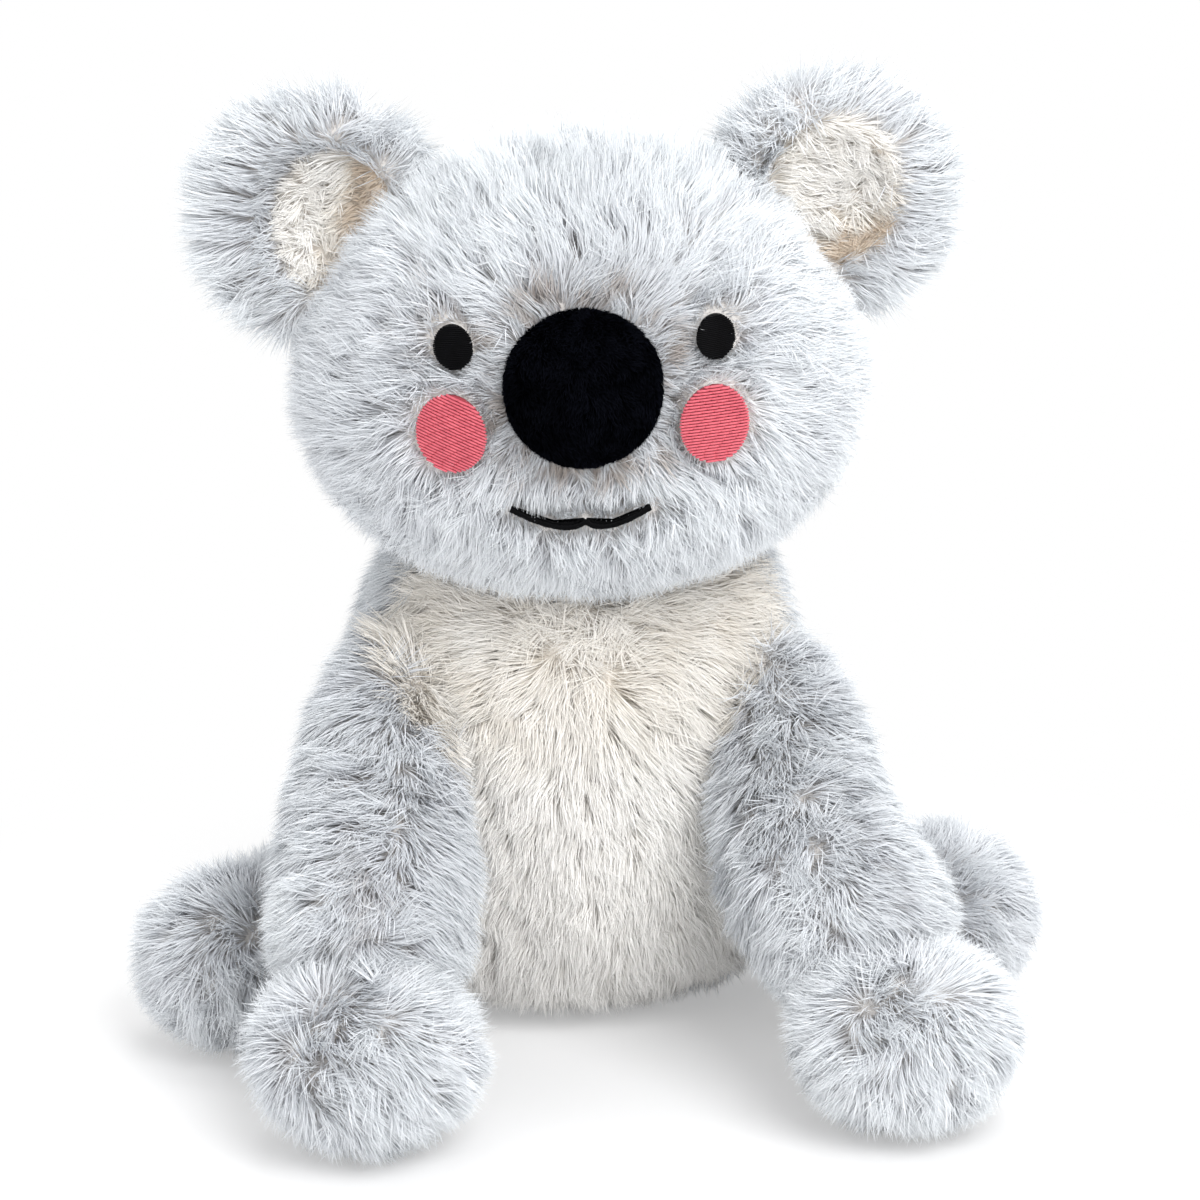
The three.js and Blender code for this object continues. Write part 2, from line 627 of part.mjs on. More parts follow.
// The stopper's ridge, or with a clearance the groove that it runs in, longer at both ends
const threadFrom = neckTop - plugLength + threadPitch / 2;
const threadTurns = (plugLength - threadPitch) / threadPitch;
const ridge = (clearance, turnsBelow, turnsAbove) => threadRidge(
  threadRootRadius - ridgeSink,
  threadCrestRadius + clearance,
  ridgeRootHalf + clearance,
  ridgeCrestHalf + clearance,
  threadTurns + turnsBelow + turnsAbove,
  threadFrom - threadPitch * turnsBelow,
);

// Neck insert: a threaded ring in the neck; the stopper's plug screws into it
const insertLow = neckTop - plugLength - insertFoot;
const insertOuter = neckBoreRadius - seamGap;
const boreRadius = threadRootRadius + threadClearance;
add('neck_insert', turned([
  [boreRadius, insertLow], [insertOuter, insertLow], [insertOuter, neckTop], [boreRadius, neckTop],
  [boreRadius, insertLow],
]).subtract(ridge(threadClearance, 1, 3)), 'brassInsert', bottleGroup);

// Washer and stopper
const washerBore = threadRootRadius + seamGap;
add('washer', turned([
  [washerBore, washerLow], [washerOuterRadius, washerLow],
  [washerOuterRadius, washerLow + washerThickness], [washerBore, washerLow + washerThickness],
  [washerBore, washerLow],
]), 'blackRubber', bottleGroup);
const gripSides = gripLobes * 4;
const gripOutline = new THREE.Shape(Array.from({ length: gripSides }, (_, step) => {
  const turn = (2 * Math.PI * step) / gripSides;
  const radius = gripRadius - gripLobeDepth * (0.5 - 0.5 * Math.cos(gripLobes * turn));
  return new THREE.Vector2(radius * Math.cos(turn), radius * Math.sin(turn));
}));
const grip = solid(new THREE.ExtrudeGeometry(gripOutline, {
  depth: gripHeight - 2 * gripBevel,
  bevelThickness: gripBevel,
  bevelSize: gripBevel,
  bevelOffset: -gripBevel,
  bevelSegments: 1,
}).translate(0, 0, gripLow + gripBevel));
const plugTop = gripLow + gripBevel;
const plug = turned([
  [0, neckTop - plugLength], [threadRootRadius, neckTop - plugLength],
  [threadRootRadius, plugTop], [0, plugTop],
]);
add('stopper', grip.add(plug).add(ridge(0, 0, 0)), 'stopperPlastic', bottleGroup);

// Stand the toy on the middle of its floor area
toy.updateMatrixWorld(true);
const reach = new THREE.Box3().setFromObject(toy, true);
const middle = reach.getCenter(new THREE.Vector3());
toy.position.set(-middle.x, -middle.y, 0);

export default toy;
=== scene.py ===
# Seated plush koala that holds a small rubber hot water bottle in a pocket in its back
import math
import bmesh
import bpy
import numpy as np
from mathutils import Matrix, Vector
from mathutils import noise as blenderNoise


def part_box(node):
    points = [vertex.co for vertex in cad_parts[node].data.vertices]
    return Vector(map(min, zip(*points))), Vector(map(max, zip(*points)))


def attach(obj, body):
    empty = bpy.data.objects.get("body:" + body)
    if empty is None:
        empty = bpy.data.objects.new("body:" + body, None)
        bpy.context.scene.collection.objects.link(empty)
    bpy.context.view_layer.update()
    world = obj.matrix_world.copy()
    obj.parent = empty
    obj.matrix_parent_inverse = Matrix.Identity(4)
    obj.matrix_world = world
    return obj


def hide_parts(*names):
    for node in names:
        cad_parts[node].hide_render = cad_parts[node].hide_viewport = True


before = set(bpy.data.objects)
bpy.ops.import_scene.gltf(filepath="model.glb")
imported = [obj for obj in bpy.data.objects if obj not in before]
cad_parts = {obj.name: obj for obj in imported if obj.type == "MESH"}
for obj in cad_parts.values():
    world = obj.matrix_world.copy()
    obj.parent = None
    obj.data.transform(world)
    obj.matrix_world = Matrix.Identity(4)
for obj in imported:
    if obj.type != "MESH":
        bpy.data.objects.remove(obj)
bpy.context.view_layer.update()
mm = 0.001
fullTurn = 2 * math.pi

# The toy's own origin is on the floor below the middle of its head: the bottle stands straight behind it
bottleBehind = 38
lowBottle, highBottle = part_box("bottle")
toyOrigin = np.array([
    (lowBottle.x + highBottle.x) / 2,
    (lowBottle.y + highBottle.y) / 2 - bottleBehind * mm,
    0.0,
])


def unit(vectors):
    return vectors / np.maximum(np.linalg.norm(vectors, axis=-1, keepdims=True), 1e-9)


def smooth(low, high, values):
    share = np.clip((values - low) / (high - low), 0, 1)
    return share * share * (3 - 2 * share)


def noise(points, size, seed, most=1):
    # smooth noise at each point, of this size in millimetres and from -most to most
    shift = Vector((seed * 17.3, seed * 5.7, -seed * 9.1))
    return most * np.array([blenderNoise.noise(Vector(p) / size + shift) for p in points])


def noiseWay(points, size, seed, most=1, step=1):
    return np.column_stack([noise(points, size, seed + step * axis, most) for axis in range(3)])


def turnsRound(count):
    return np.linspace(0, fullTurn, count, endpoint=False)


def lineLengths(line):
    return np.concatenate([[0], np.cumsum(np.linalg.norm(np.diff(line, axis=0), axis=1))])


def alongLine(line, places):
    # points at these lengths along a line
    lengths = lineLengths(line)
    return np.column_stack([np.interp(places, lengths, line[:, axis]) for axis in range(line.shape[1])])


print("frame loaded")

# Forms, in the toy's own millimetres: a surface point for each direction, drawn in by inset
headForm = {
    "halfWidth": 81, "halfDepth": 59, "rise": 68, "drop": 68, "cheekFullness": 0.07, "cheekLevel": -0.35,
    "cheekSpan": 0.8, "widthRoundness": 0.92, "depthRoundness": 0.95,
    "centre": (-1, -6, 207), "yaw": -4, "roll": -2,
}
bodyForm = {
    "halfWidth": 77, "halfDepth": 53, "height": 184, "widestAt": 0.33, "setBack": 18,
    "lowerFullness": 2.6, "upperFullness": 2.2, "backSquareness": 4,
}


def turnedZ(angle):
    cosine, sine = math.cos(angle), math.sin(angle)
    return np.array([[cosine, -sine, 0], [sine, cosine, 0], [0, 0, 1]])


roll = math.radians(headForm["roll"])
turnY = np.array([[math.cos(roll), 0, math.sin(roll)], [0, 1, 0], [-math.sin(roll), 0, math.cos(roll)]])
headMatrix = turnY @ turnedZ(math.radians(headForm["yaw"]))


def headPlaced(points):
    return points @ headMatrix.T + np.array(headForm["centre"])


def headLocal(points):
    return (points - np.array(headForm["centre"])) @ headMatrix


def headSpans(level, inset, least=0):
    # half the head's width and depth at a level from -1 to 1
    around = np.sqrt(np.maximum(1 - level ** 2, least))
    low = np.maximum(0, 1 - ((level - headForm["cheekLevel"]) / headForm["cheekSpan"]) ** 2)
    width = headForm["halfWidth"] * (1 + headForm["cheekFullness"] * low) - inset
    depth = headForm["halfDepth"] - inset
    return width * around ** headForm["widthRoundness"], depth * around ** headForm["depthRoundness"]


def headSurface(ways, inset):
    level = ways[:, 2]
    turn = np.arctan2(ways[:, 1], ways[:, 0])
    width, depth = headSpans(level, inset)
    height = np.where(level > 0, headForm["rise"], headForm["drop"]) - inset
    return np.column_stack([width * np.cos(turn), depth * np.sin(turn), height * level])


def headFront(places, inset):
    # the head's front surface at places across and up from its middle
    across, up = np.asarray(places, float).T
    level = np.clip(up / (headForm["rise"] - inset), -0.999, 0.999)
    width, depth = headSpans(level, inset)
    return np.column_stack([across, -depth * np.sqrt(np.maximum(1 - (across / width) ** 2, 0)), up])


def insideHead(points, inset):
    # below 1 inside the head's form, as with the body and the limbs
    local = headLocal(points)
    level = np.clip(local[:, 2] / (headForm["rise"] - inset), -1.5, 1.5)
    width, depth = headSpans(level, inset, 1e-6)
    return np.where(np.abs(level) < 1, np.hypot(local[:, 0] / width, local[:, 1] / depth), 9)


def bodyFill(share, least=0):
    # how much of its half width the body has at a share of its height
    widest = bodyForm["widestAt"]
    below = share < widest
    off = np.where(below, 1 - share / widest, (share - widest) / (1 - widest))
    power = np.where(below, bodyForm["lowerFullness"], bodyForm["upperFullness"])
    return np.maximum(1 - off ** power, least) ** (1 / power)


def bodyShare(z, inset):
    return np.clip((z - inset) / (bodyForm["height"] - 2 * inset), 0, 1)


def bodySurface(ways, inset):
    share = (1 + ways[:, 2]) / 2
    fill = bodyFill(share)
    turn = np.arctan2(ways[:, 1], ways[:, 0])
    across, back = np.cos(turn), np.sin(turn)
    square = np.where(back > 0, bodyForm["backSquareness"], 2)
    reach = (np.abs(across) ** square + np.abs(back) ** square) ** (-1 / square)
    return np.column_stack([
        (bodyForm["halfWidth"] - inset) * fill * reach * across,
        bodyForm["setBack"] + (bodyForm["halfDepth"] - inset) * fill * reach * back,
        inset + (bodyForm["height"] - 2 * inset) * share,
    ])


def insideBody(points, inset):
    fill = bodyFill(bodyShare(points[:, 2], inset), 1e-6)
    square = np.where(points[:, 1] > bodyForm["setBack"], bodyForm["backSquareness"], 2)
    across = np.abs(points[:, 0]) / (bodyForm["halfWidth"] - inset)
    back = np.abs(points[:, 1] - bodyForm["setBack"]) / (bodyForm["halfDepth"] - inset)
    return (across ** square + back ** square) ** (1 / square) / fill


def roundShare(points, halfSizes):
    return np.linalg.norm(points / np.array(halfSizes), axis=1)


def linked(name, data):
    piece = bpy.data.objects.new(name, data)
    bpy.context.scene.collection.objects.link(piece)
    return piece


def shadeSmooth(mesh):
    mesh.polygons.foreach_set("use_smooth", [True] * len(mesh.polygons))


def toyMesh(name, points, faces, material=None, edges=()):
    mesh = bpy.data.meshes.new(name)
    mesh.from_pydata([tuple(p) for p in points * mm + toyOrigin], edges, faces)
    shadeSmooth(mesh)
    if material:
        mesh.materials.append(material)
    return linked(name, mesh)


def ballWays(subdivisions):
    ball = bmesh.new()
    bmesh.ops.create_icosphere(ball, subdivisions=subdivisions, radius=1)
    ways = np.array([v.co[:] for v in ball.verts])
    faces = [tuple(v.index for v in f.verts) for f in ball.faces]
    ball.free()
    return unit(ways), faces


def meshPoints(piece):
    count = len(piece.data.vertices)
    points = np.zeros(count * 3)
    normals = np.zeros(count * 3, dtype=np.float32)
    piece.data.vertices.foreach_get("co", points)
    piece.data.vertex_normals.foreach_get("vector", normals)
    return (points.reshape(-1, 3) - toyOrigin) / mm, normals.reshape(-1, 3).astype(float)


def storeField(mesh, name, values):
    # a number or a direction for each point
    kind, key = ("FLOAT_VECTOR", "vector") if values.ndim == 2 else ("FLOAT", "value")
    attribute = mesh.attributes.get(name) or mesh.attributes.new(name, kind, "POINT")
    attribute.data.foreach_set(key, values.astype(np.float32).ravel())


def storePile(skin, **fields):
    # what the fur tree reads on a skin; a single number holds everywhere
    for name, values in fields.items():
        values = np.asarray(values, float)
        if values.ndim == 0:
            values = np.full(len(skin.data.vertices), values)
        storeField(skin.data, name, values)


def joinBody(body, slot, *pieces):
    for piece in pieces:
        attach(piece, body)


# Nodes, with each input given as a value or as another node's output
class Wires:
    def __init__(self, tree):
        self.tree = tree

    def plug(self, value, socket):
        if isinstance(value, bpy.types.NodeSocket):
            self.tree.links.new(value, socket)
        else:
            socket.default_value = value

    def add(self, kind, inputs=None, **settings):
        node = self.tree.nodes.new(kind)
        for key, value in settings.items():
            setattr(node, key, value)
        for key, value in (inputs or {}).items():
            self.plug(value, node.inputs[key])
        return node

    def math(self, operation, *values):
        return self.add("ShaderNodeMath", dict(enumerate(values)), operation=operation).outputs[0]

    def vector(self, operation, *values):
        node = self.add("ShaderNodeVectorMath", dict(enumerate(values)), operation=operation)
        return node.outputs["Value" if operation in ("DOT_PRODUCT", "LENGTH") else "Vector"]

    def scaled(self, vector, factor):
        return self.add("ShaderNodeVectorMath", {0: vector, 3: factor}, operation="SCALE").outputs[0]

    def combine(self, x, y, z):
        return self.add("ShaderNodeCombineXYZ", {0: x, 1: y, 2: z}).outputs[0]

    def separate(self, vector):
        return self.add("ShaderNodeSeparateXYZ", {0: vector}).outputs

    def liveInputs(self, node, *names):
        return [s for s in node.inputs if s.enabled and s.name in names]

    def liveOutput(self, node):
        return next(s for s in node.outputs if s.enabled)

    def field(self, name, kind="FLOAT"):
        return self.liveOutput(self.add("GeometryNodeInputNamedAttribute", {"Name": name}, data_type=kind))

    def wayField(self, name):
        return self.field(name, "FLOAT_VECTOR")

    def store(self, geometry, name, value, kind="FLOAT", domain="POINT"):
        node = self.add("GeometryNodeStoreNamedAttribute", {"Geometry": geometry, "Name": name},
                        data_type=kind, domain=domain)
        self.plug(value, self.liveInputs(node, "Value")[0])
        return node.outputs[0]

    def random(self, low, high, seed, kind="FLOAT"):
        node = self.add("FunctionNodeRandomValue", {"Seed": seed}, data_type=kind)
        for value, socket in zip((low, high), self.liveInputs(node, "Min", "Max")):
            self.plug(value, socket)
        return self.liveOutput(node)

    def mix(self, factor, first, second, blend="MIX"):
        node = self.add("ShaderNodeMix", data_type="RGBA", blend_type=blend, clamp_factor=True)
        for index, value in ((0, factor), (6, first), (7, second)):
            self.plug((*value, 1) if isinstance(value, tuple) else value, node.inputs[index])
        return node.outputs[2]

    def ramp(self, factor, stops):
        node = self.add("ShaderNodeValToRGB", {"Fac": factor})
        elements = node.color_ramp.elements
        while len(elements) < len(stops):
            elements.new(0.5)
        for element, (place, colour) in zip(elements, stops):
            element.position = place
            element.color = (*colour, 1)
        return node.outputs[0]

    def attribute(self, name):
        node = self.add("ShaderNodeAttribute", attribute_type="GEOMETRY", attribute_name=name)
        return node.outputs["Fac"]

    def place(self):
        return self.add("ShaderNodeTexCoord").outputs["Object"]

    def noise(self, place, scale, detail):
        node = self.add("ShaderNodeTexNoise", {"Vector": place, "Scale": scale, "Detail": detail})
        return node.outputs["Fac"]


def newTree(name, sockets):
    tree = bpy.data.node_groups.new(name, "GeometryNodeTree")
    tree.interface.new_socket("Geometry", in_out="INPUT", socket_type="NodeSocketGeometry")
    for label, kind in sockets.items():
        tree.interface.new_socket(label, in_out="INPUT", socket_type="NodeSocket" + kind)
    tree.interface.new_socket("Geometry", in_out="OUTPUT", socket_type="NodeSocketGeometry")
    wires = Wires(tree)
    return tree, wires, wires.add("NodeGroupInput").outputs, wires.add("NodeGroupOutput")


# Geometry Nodes: a fur pile on any skin that carries the fields of storePile
furPile = {
    "Strands per Square Metre": 2.9e6, "Tufts per Square Metre": 4.0e4, "Half Width": 0.165 * mm,
    "Tuft Pull": 0.37, "Tuft Stray": 0.62, "Strand Stray": 0.34, "Tone Spread": 0.08,
    "Normal Softness": 0.93, "Floor": 0.4 * mm,
}
strandSpread = {
    "length": (0.72, 1.12), "width": (0.7, 1.3), "pull": (0.0, 1.5), "tone": (-0.8, 0.8), "tuftTone": 0.5,
    "rootLift": (1.0, 1.35), "rootLay": -0.55, "tipLift": (0.75, 1.15), "tipLay": -0.95,
}


def buildFurTree():
    tree, w, given, result = newTree("furPile", {
        "Strand": "Object", "Seed": "Int", **{label: "Float" for label in furPile}, "Pile": "Material"})

    def drawn(step, low, high, kind="FLOAT"):
        return w.random(low, high, w.math("ADD", given["Seed"], float(step)), kind)

    def drawnWay(step):
        return drawn(step, (-1.0,) * 3, (1.0,) * 3, "FLOAT_VECTOR")

    def spread(density, seed):
        return w.add("GeometryNodeDistributePointsOnFaces",
                     {"Mesh": given["Geometry"], "Density": density, "Seed": seed}).outputs["Points"]

    tufts = spread(given["Tufts per Square Metre"], given["Seed"])
    tufts = w.store(tufts, "tuftStray", drawnWay(1), "FLOAT_VECTOR")
    tufts = w.store(tufts, "tuftTone", drawn(2, -1.0, 1.0))
    density = w.math("MULTIPLY", given["Strands per Square Metre"], w.field("pileDensity"))
    roots = spread(density, w.math("ADD", given["Seed"], 3.0))
    place = w.add("GeometryNodeInputPosition").outputs[0]
    nearest = w.add("GeometryNodeSampleNearest", {"Geometry": tufts, "Sample Position": place}).outputs[0]

    def fromTuft(value, kind):
        node = w.add("GeometryNodeSampleIndex", {"Geometry": tufts, "Index": nearest}, data_type=kind)
        w.plug(value, w.liveInputs(node, "Value")[0])
        return w.liveOutput(node)

    out = w.vector("NORMALIZE", w.wayField("skinOut"))

    def flat(vector):
        return w.vector("SUBTRACT", vector, w.scaled(out, w.vector("DOT_PRODUCT", vector, out)))

    strayOfTuft = w.scaled(fromTuft(w.wayField("tuftStray"), "FLOAT_VECTOR"), given["Tuft Stray"])
    strayOfStrand = w.scaled(drawnWay(4), given["Strand Stray"])
    way = w.vector("ADD", w.wayField("combWay"), w.vector("ADD", strayOfTuft, strayOfStrand))
    # some strands gather to their tuft's tip, others stay between the tufts as undercoat
    pullShare = w.math("MULTIPLY", given["Tuft Pull"], drawn(12, *strandSpread["pull"]))
    toTuft = w.vector("SUBTRACT", fromTuft(place, "FLOAT_VECTOR"), place)
    length = w.math("MULTIPLY", w.field("pileLength"), drawn(5, *strandSpread["length"]))
    width = w.math("MULTIPLY", given["Half Width"], drawn(6, *strandSpread["width"]))
    # a strand's angles from the skin at its root and its tip, in radians: the more it lies, the less
    lay = w.field("pileLay")
    rootLift = w.math("MULTIPLY_ADD", lay, strandSpread["rootLay"], drawn(7, *strandSpread["rootLift"]))
    tipLift = w.math("MULTIPLY_ADD", lay, strandSpread["tipLay"], drawn(8, *strandSpread["tipLift"]))
    toneShift = w.math("MULTIPLY_ADD", fromTuft(w.field("tuftTone"), "FLOAT"), strandSpread["tuftTone"],
                       drawn(9, *strandSpread["tone"]))
    tone = w.math("MULTIPLY_ADD", toneShift, given["Tone Spread"], w.field("pileTone"))
    for name, value in (
        ("rootPlace", place), ("rootOut", out), ("rootWay", w.vector("NORMALIZE", flat(way))),
        ("rootPull", w.scaled(flat(toTuft), pullShare)),
        ("rootSize", w.combine(length, width, drawn(11, -1.0, 1.0))),
        ("rootLifts", w.combine(rootLift, tipLift, 0.0)),
    ):
        roots = w.store(roots, name, value, "FLOAT_VECTOR")
    roots = w.store(roots, "strandTone",
                    w.add("ShaderNodeClamp", {"Value": tone, "Min": 0.02, "Max": 0.98}).outputs[0])

    shape = w.add("GeometryNodeObjectInfo", {"Object": given["Strand"]}).outputs["Geometry"]
    placed = w.add("GeometryNodeInstanceOnPoints", {"Points": roots, "Instance": shape}).outputs[0]
    strands = w.add("GeometryNodeRealizeInstances", {"Geometry": placed}).outputs[0]

    # every strand bends along an arc from its root's angle to its tip's, twisted round its own line
    along, side = w.field("strandT"), w.field("strandSide")
    size, lifts = w.separate(w.wayField("rootSize")), w.separate(w.wayField("rootLifts"))
    outOf, wayOf = w.wayField("rootOut"), w.wayField("rootWay")
    across = w.vector("CROSS_PRODUCT", wayOf, outOf)
    bend = w.math("SUBTRACT", lifts[1], lifts[0])
    chord = w.math("MULTIPLY_ADD", w.math("MULTIPLY", along, 0.5), bend, lifts[0])
    here = w.math("MULTIPLY_ADD", along, bend, lifts[0])

    def turned(first, second, angle, operation="ADD"):
        return w.vector(operation, w.scaled(first, w.math("COSINE", angle)),
                        w.scaled(second, w.math("SINE", angle)))

    spine = w.scaled(turned(wayOf, outOf, chord), w.math("MULTIPLY", size[0], along))
    face = turned(outOf, wayOf, here, "SUBTRACT")
    sideWay = turned(across, face, size[2])
    faceWay = turned(face, across, size[2], "SUBTRACT")
    gathered = w.scaled(w.wayField("rootPull"), w.math("MULTIPLY", along, along))
    sideStep = w.scaled(sideWay, w.math("MULTIPLY", side, size[1]))
    point = w.vector("ADD", w.wayField("rootPlace"), spine)
    point = w.vector("ADD", point, w.vector("ADD", gathered, sideStep))
    xyz = w.separate(point)
    point = w.combine(xyz[0], xyz[1], w.math("MAXIMUM", xyz[2], given["Floor"]))
    strands = w.add("GeometryNodeSetPosition", {"Geometry": strands, "Position": point}).outputs[0]
    soft = given["Normal Softness"]
    normal = w.vector("ADD", w.scaled(outOf, soft), w.scaled(faceWay, w.math("SUBTRACT", 1.0, soft)))
    strands = w.store(strands, "strandNormal", w.vector("NORMALIZE", normal), "FLOAT_VECTOR")
    bakeUv = w.combine(w.field("strandTone"), along, 0.0)
    strands = w.store(strands, "OFBake", bakeUv, "FLOAT2", "CORNER")
    normals = w.add("GeometryNodeSetMeshNormal", {"Mesh": strands}, mode="FREE", domain="POINT")
    w.plug(w.wayField("strandNormal"), normals.inputs["Custom Normal"])
    clean = normals.outputs[0]
    for name in ("root*", "tuft*", "pile*", "comb*", "skin*", "strandSide", "strandNormal"):
        node = w.add("GeometryNodeRemoveAttribute", {"Geometry": clean, "Name": name})
        node.pattern_mode = "WILDCARD" if "*" in name else "EXACT"
        clean = node.outputs[0]
    painted = w.add("GeometryNodeSetMaterial", {"Geometry": clean, "Material": given["Pile"]})
    tree.links.new(painted.outputs[0], result.inputs[0])
    return tree


def strandShape():
    # a flat taper, one long, from its root up
    points = [(-0.85, 0, 0), (0.85, 0, 0), (-1, 0, 0.48), (1, 0, 0.48), (0, 0, 1)]
    mesh = bpy.data.meshes.new("strandShape")
    mesh.from_pydata(points, [], [(0, 1, 3, 2), (2, 3, 4)])
    storeField(mesh, "strandT", np.array([p[2] for p in points]))
    storeField(mesh, "strandSide", np.array([p[0] for p in points]))
    return bpy.data.objects.new("strandShape", mesh)


furTree = buildFurTree()
strand = strandShape()
print("fur tree built")


def treeResult(piece, tree, values, name):
    # runs a tree on a piece and returns what it makes as a plain mesh object
    modifier = piece.modifiers.new("tree", "NODES")
    modifier.node_group = tree
    for socket in tree.interface.items_tree:
        if getattr(socket, "in_out", "") == "INPUT" and socket.name in values:
            modifier[socket.identifier] = values[socket.name]
    bpy.context.view_layer.update()
    graph = bpy.context.evaluated_depsgraph_get()
    mesh = bpy.data.meshes.new_from_object(piece.evaluated_get(graph), preserve_all_data_layers=True,
                                           depsgraph=graph)
    mesh.name = name
    piece.modifiers.remove(modifier)
    used = [m for m in mesh.materials if m]
    mesh.materials.clear()
    for material in used:
        mesh.materials.append(material)
    mesh.polygons.foreach_set("material_index", [0] * len(mesh.polygons))
    return linked(name, mesh)


def growFur(skin, name, material, seed, changes=None):
    # a pile on a skin, with furPile's values or others in their place
    values = {"Strand": strand, "Seed": seed, **furPile, "Pile": material, **(changes or {})}
    fur = treeResult(skin, furTree, values, name)
    print(name, "has", len(fur.data.polygons), "faces")
    return fur


def growSectors(skin, names, masks, material, seed):
    # one fur piece for each part of a large skin, so that no piece is too heavy
    density = np.zeros(len(skin.data.vertices), dtype=np.float32)
    skin.data.attributes["pileDensity"].data.foreach_get("value", density)
    made = []
    for name, mask in zip(names, masks):
        storeField(skin.data, "pileDensity", density * mask)
        made.append(growFur(skin, name, material, seed))
    storeField(skin.data, "pileDensity", density)
    return made


# Camera at the photograph's angle, in the toy's own frame
photoView = {"azimuth": -6, "elevation": 16, "distance": 1.2, "target": (3, -20, 140), "lens": 120.6}
studio = {
    "world": 0.67, "background": 1.0, "aim": (0, 0, 0.13),
    "lamps": {
        "key": {"power": 27, "place": (0.55, -1.2, 1.4), "size": 1.1},
        "fill": {"power": 4, "place": (-1.3, -1.0, 0.7), "size": 1.2},
        "top": {"power": 9, "place": (0.1, 0.35, 1.6), "size": 1.0},
    },
    "floor": (0.94, 0.94, 0.945), "floorHalf": 6.0, "floorDrop": 0.0003,
    "whiteFrom": 0.10, "whiteTo": 0.30, "leastWhite": 0.35,
}


def lookAt(piece, place, target):
    piece.location = place
    piece.rotation_euler = (Vector(target) - Vector(place)).to_track_quat("-Z", "Y").to_euler()


camera = linked("photoCamera", bpy.data.cameras.new("photoCamera"))
azimuth, elevation = math.radians(photoView["azimuth"]), math.radians(photoView["elevation"])
viewTarget = np.array(photoView["target"]) * mm + toyOrigin
viewWay = np.array([
    math.sin(azimuth) * math.cos(elevation),
    -math.cos(azimuth) * math.cos(elevation),
    math.sin(elevation),
])
lookAt(camera, viewTarget + photoView["distance"] * viewWay, viewTarget)
camera.data.lens = photoView["lens"]
camera.data.sensor_width = 36
camera.data.clip_start = 0.05
camera.data.clip_end = 30
bpy.context.scene.camera = camera
bpy.context.scene.view_settings.view_transform = "Standard"


def seenShare(nodes):
    # 1 for rays from the camera, also by a reflection or through glass, and 0 for light on the toy
    ways = nodes.add("ShaderNodeLightPath").outputs
    seen = nodes.math("MAXIMUM", ways["Is Camera Ray"], ways["Is Glossy Ray"])
    return nodes.math("MAXIMUM", seen, ways["Is Transmission Ray"])


world = bpy.data.worlds.new("studioWorld")
bpy.context.scene.world = world
world.use_nodes = True
world.node_tree.nodes.clear()
nodes = Wires(world.node_tree)
brighter = studio["background"] - studio["world"]
strength = nodes.math("MULTIPLY_ADD", seenShare(nodes), brighter, studio["world"])
sky = nodes.add("ShaderNodeBackground", {"Color": (1, 1, 1, 1), "Strength": strength})
nodes.add("ShaderNodeOutputWorld", {"Surface": sky.outputs[0]})

for name, facts in studio["lamps"].items():
    lamp = bpy.data.lights.new(name + "Light", "AREA")
    lamp.energy = facts["power"]
    lamp.shape = "SQUARE"
    lamp.size = facts["size"]
    lookAt(linked(name + "Light", lamp), np.array(facts["place"]) + toyOrigin,
           np.array(studio["aim"]) + toyOrigin)


def newMaterial(name, inputs):
    # a plain material, its nodes and its shader
    material = bpy.data.materials.new(name)
    material.use_nodes = True
    nodes = Wires(material.node_tree)
    shader = next(n for n in material.node_tree.nodes if n.type == "BSDF_PRINCIPLED")
    for key, value in inputs.items():
        nodes.plug(value, shader.inputs[key])
    return material, nodes, shader


# The floor turns into the plain white ground away from the toy
floorMaterial, nodes, shader = newMaterial("paleFloor", {
    "Roughness": 0.9, "Specular IOR Level": 0.1, "Base Color": (*studio["floor"], 1)})
place = nodes.separate(nodes.place())
away = nodes.vector("LENGTH", nodes.combine(place[0], place[1], 0.0))
fade = nodes.add("ShaderNodeMapRange", {
    "Value": away, "From Min": studio["whiteFrom"], "From Max": studio["whiteTo"],
    "To Min": studio["leastWhite"]}, interpolation_type="SMOOTHSTEP").outputs[0]
fade = nodes.math("MULTIPLY", fade, seenShare(nodes))
ground = nodes.add("ShaderNodeEmission", {"Color": (1, 1, 1, 1), "Strength": 1.0})
blend = nodes.add("ShaderNodeMixShader", {0: fade, 1: shader.outputs[0], 2: ground.outputs[0]})
floorOutput = next(n for n in floorMaterial.node_tree.nodes if n.type == "OUTPUT_MATERIAL")
nodes.plug(blend.outputs[0], floorOutput.inputs[0])
half = studio["floorHalf"]
floorMesh = bpy.data.meshes.new("floor")
floorMesh.from_pydata([(-half, -half, 0), (half, -half, 0), (half, half, 0), (-half, half, 0)],
                      [], [(0, 1, 2, 3)])
floorMesh.materials.append(floorMaterial)
floor = linked("floor", floorMesh)
floor.location.z = -studio["floorDrop"]
print("camera, light and floor set")

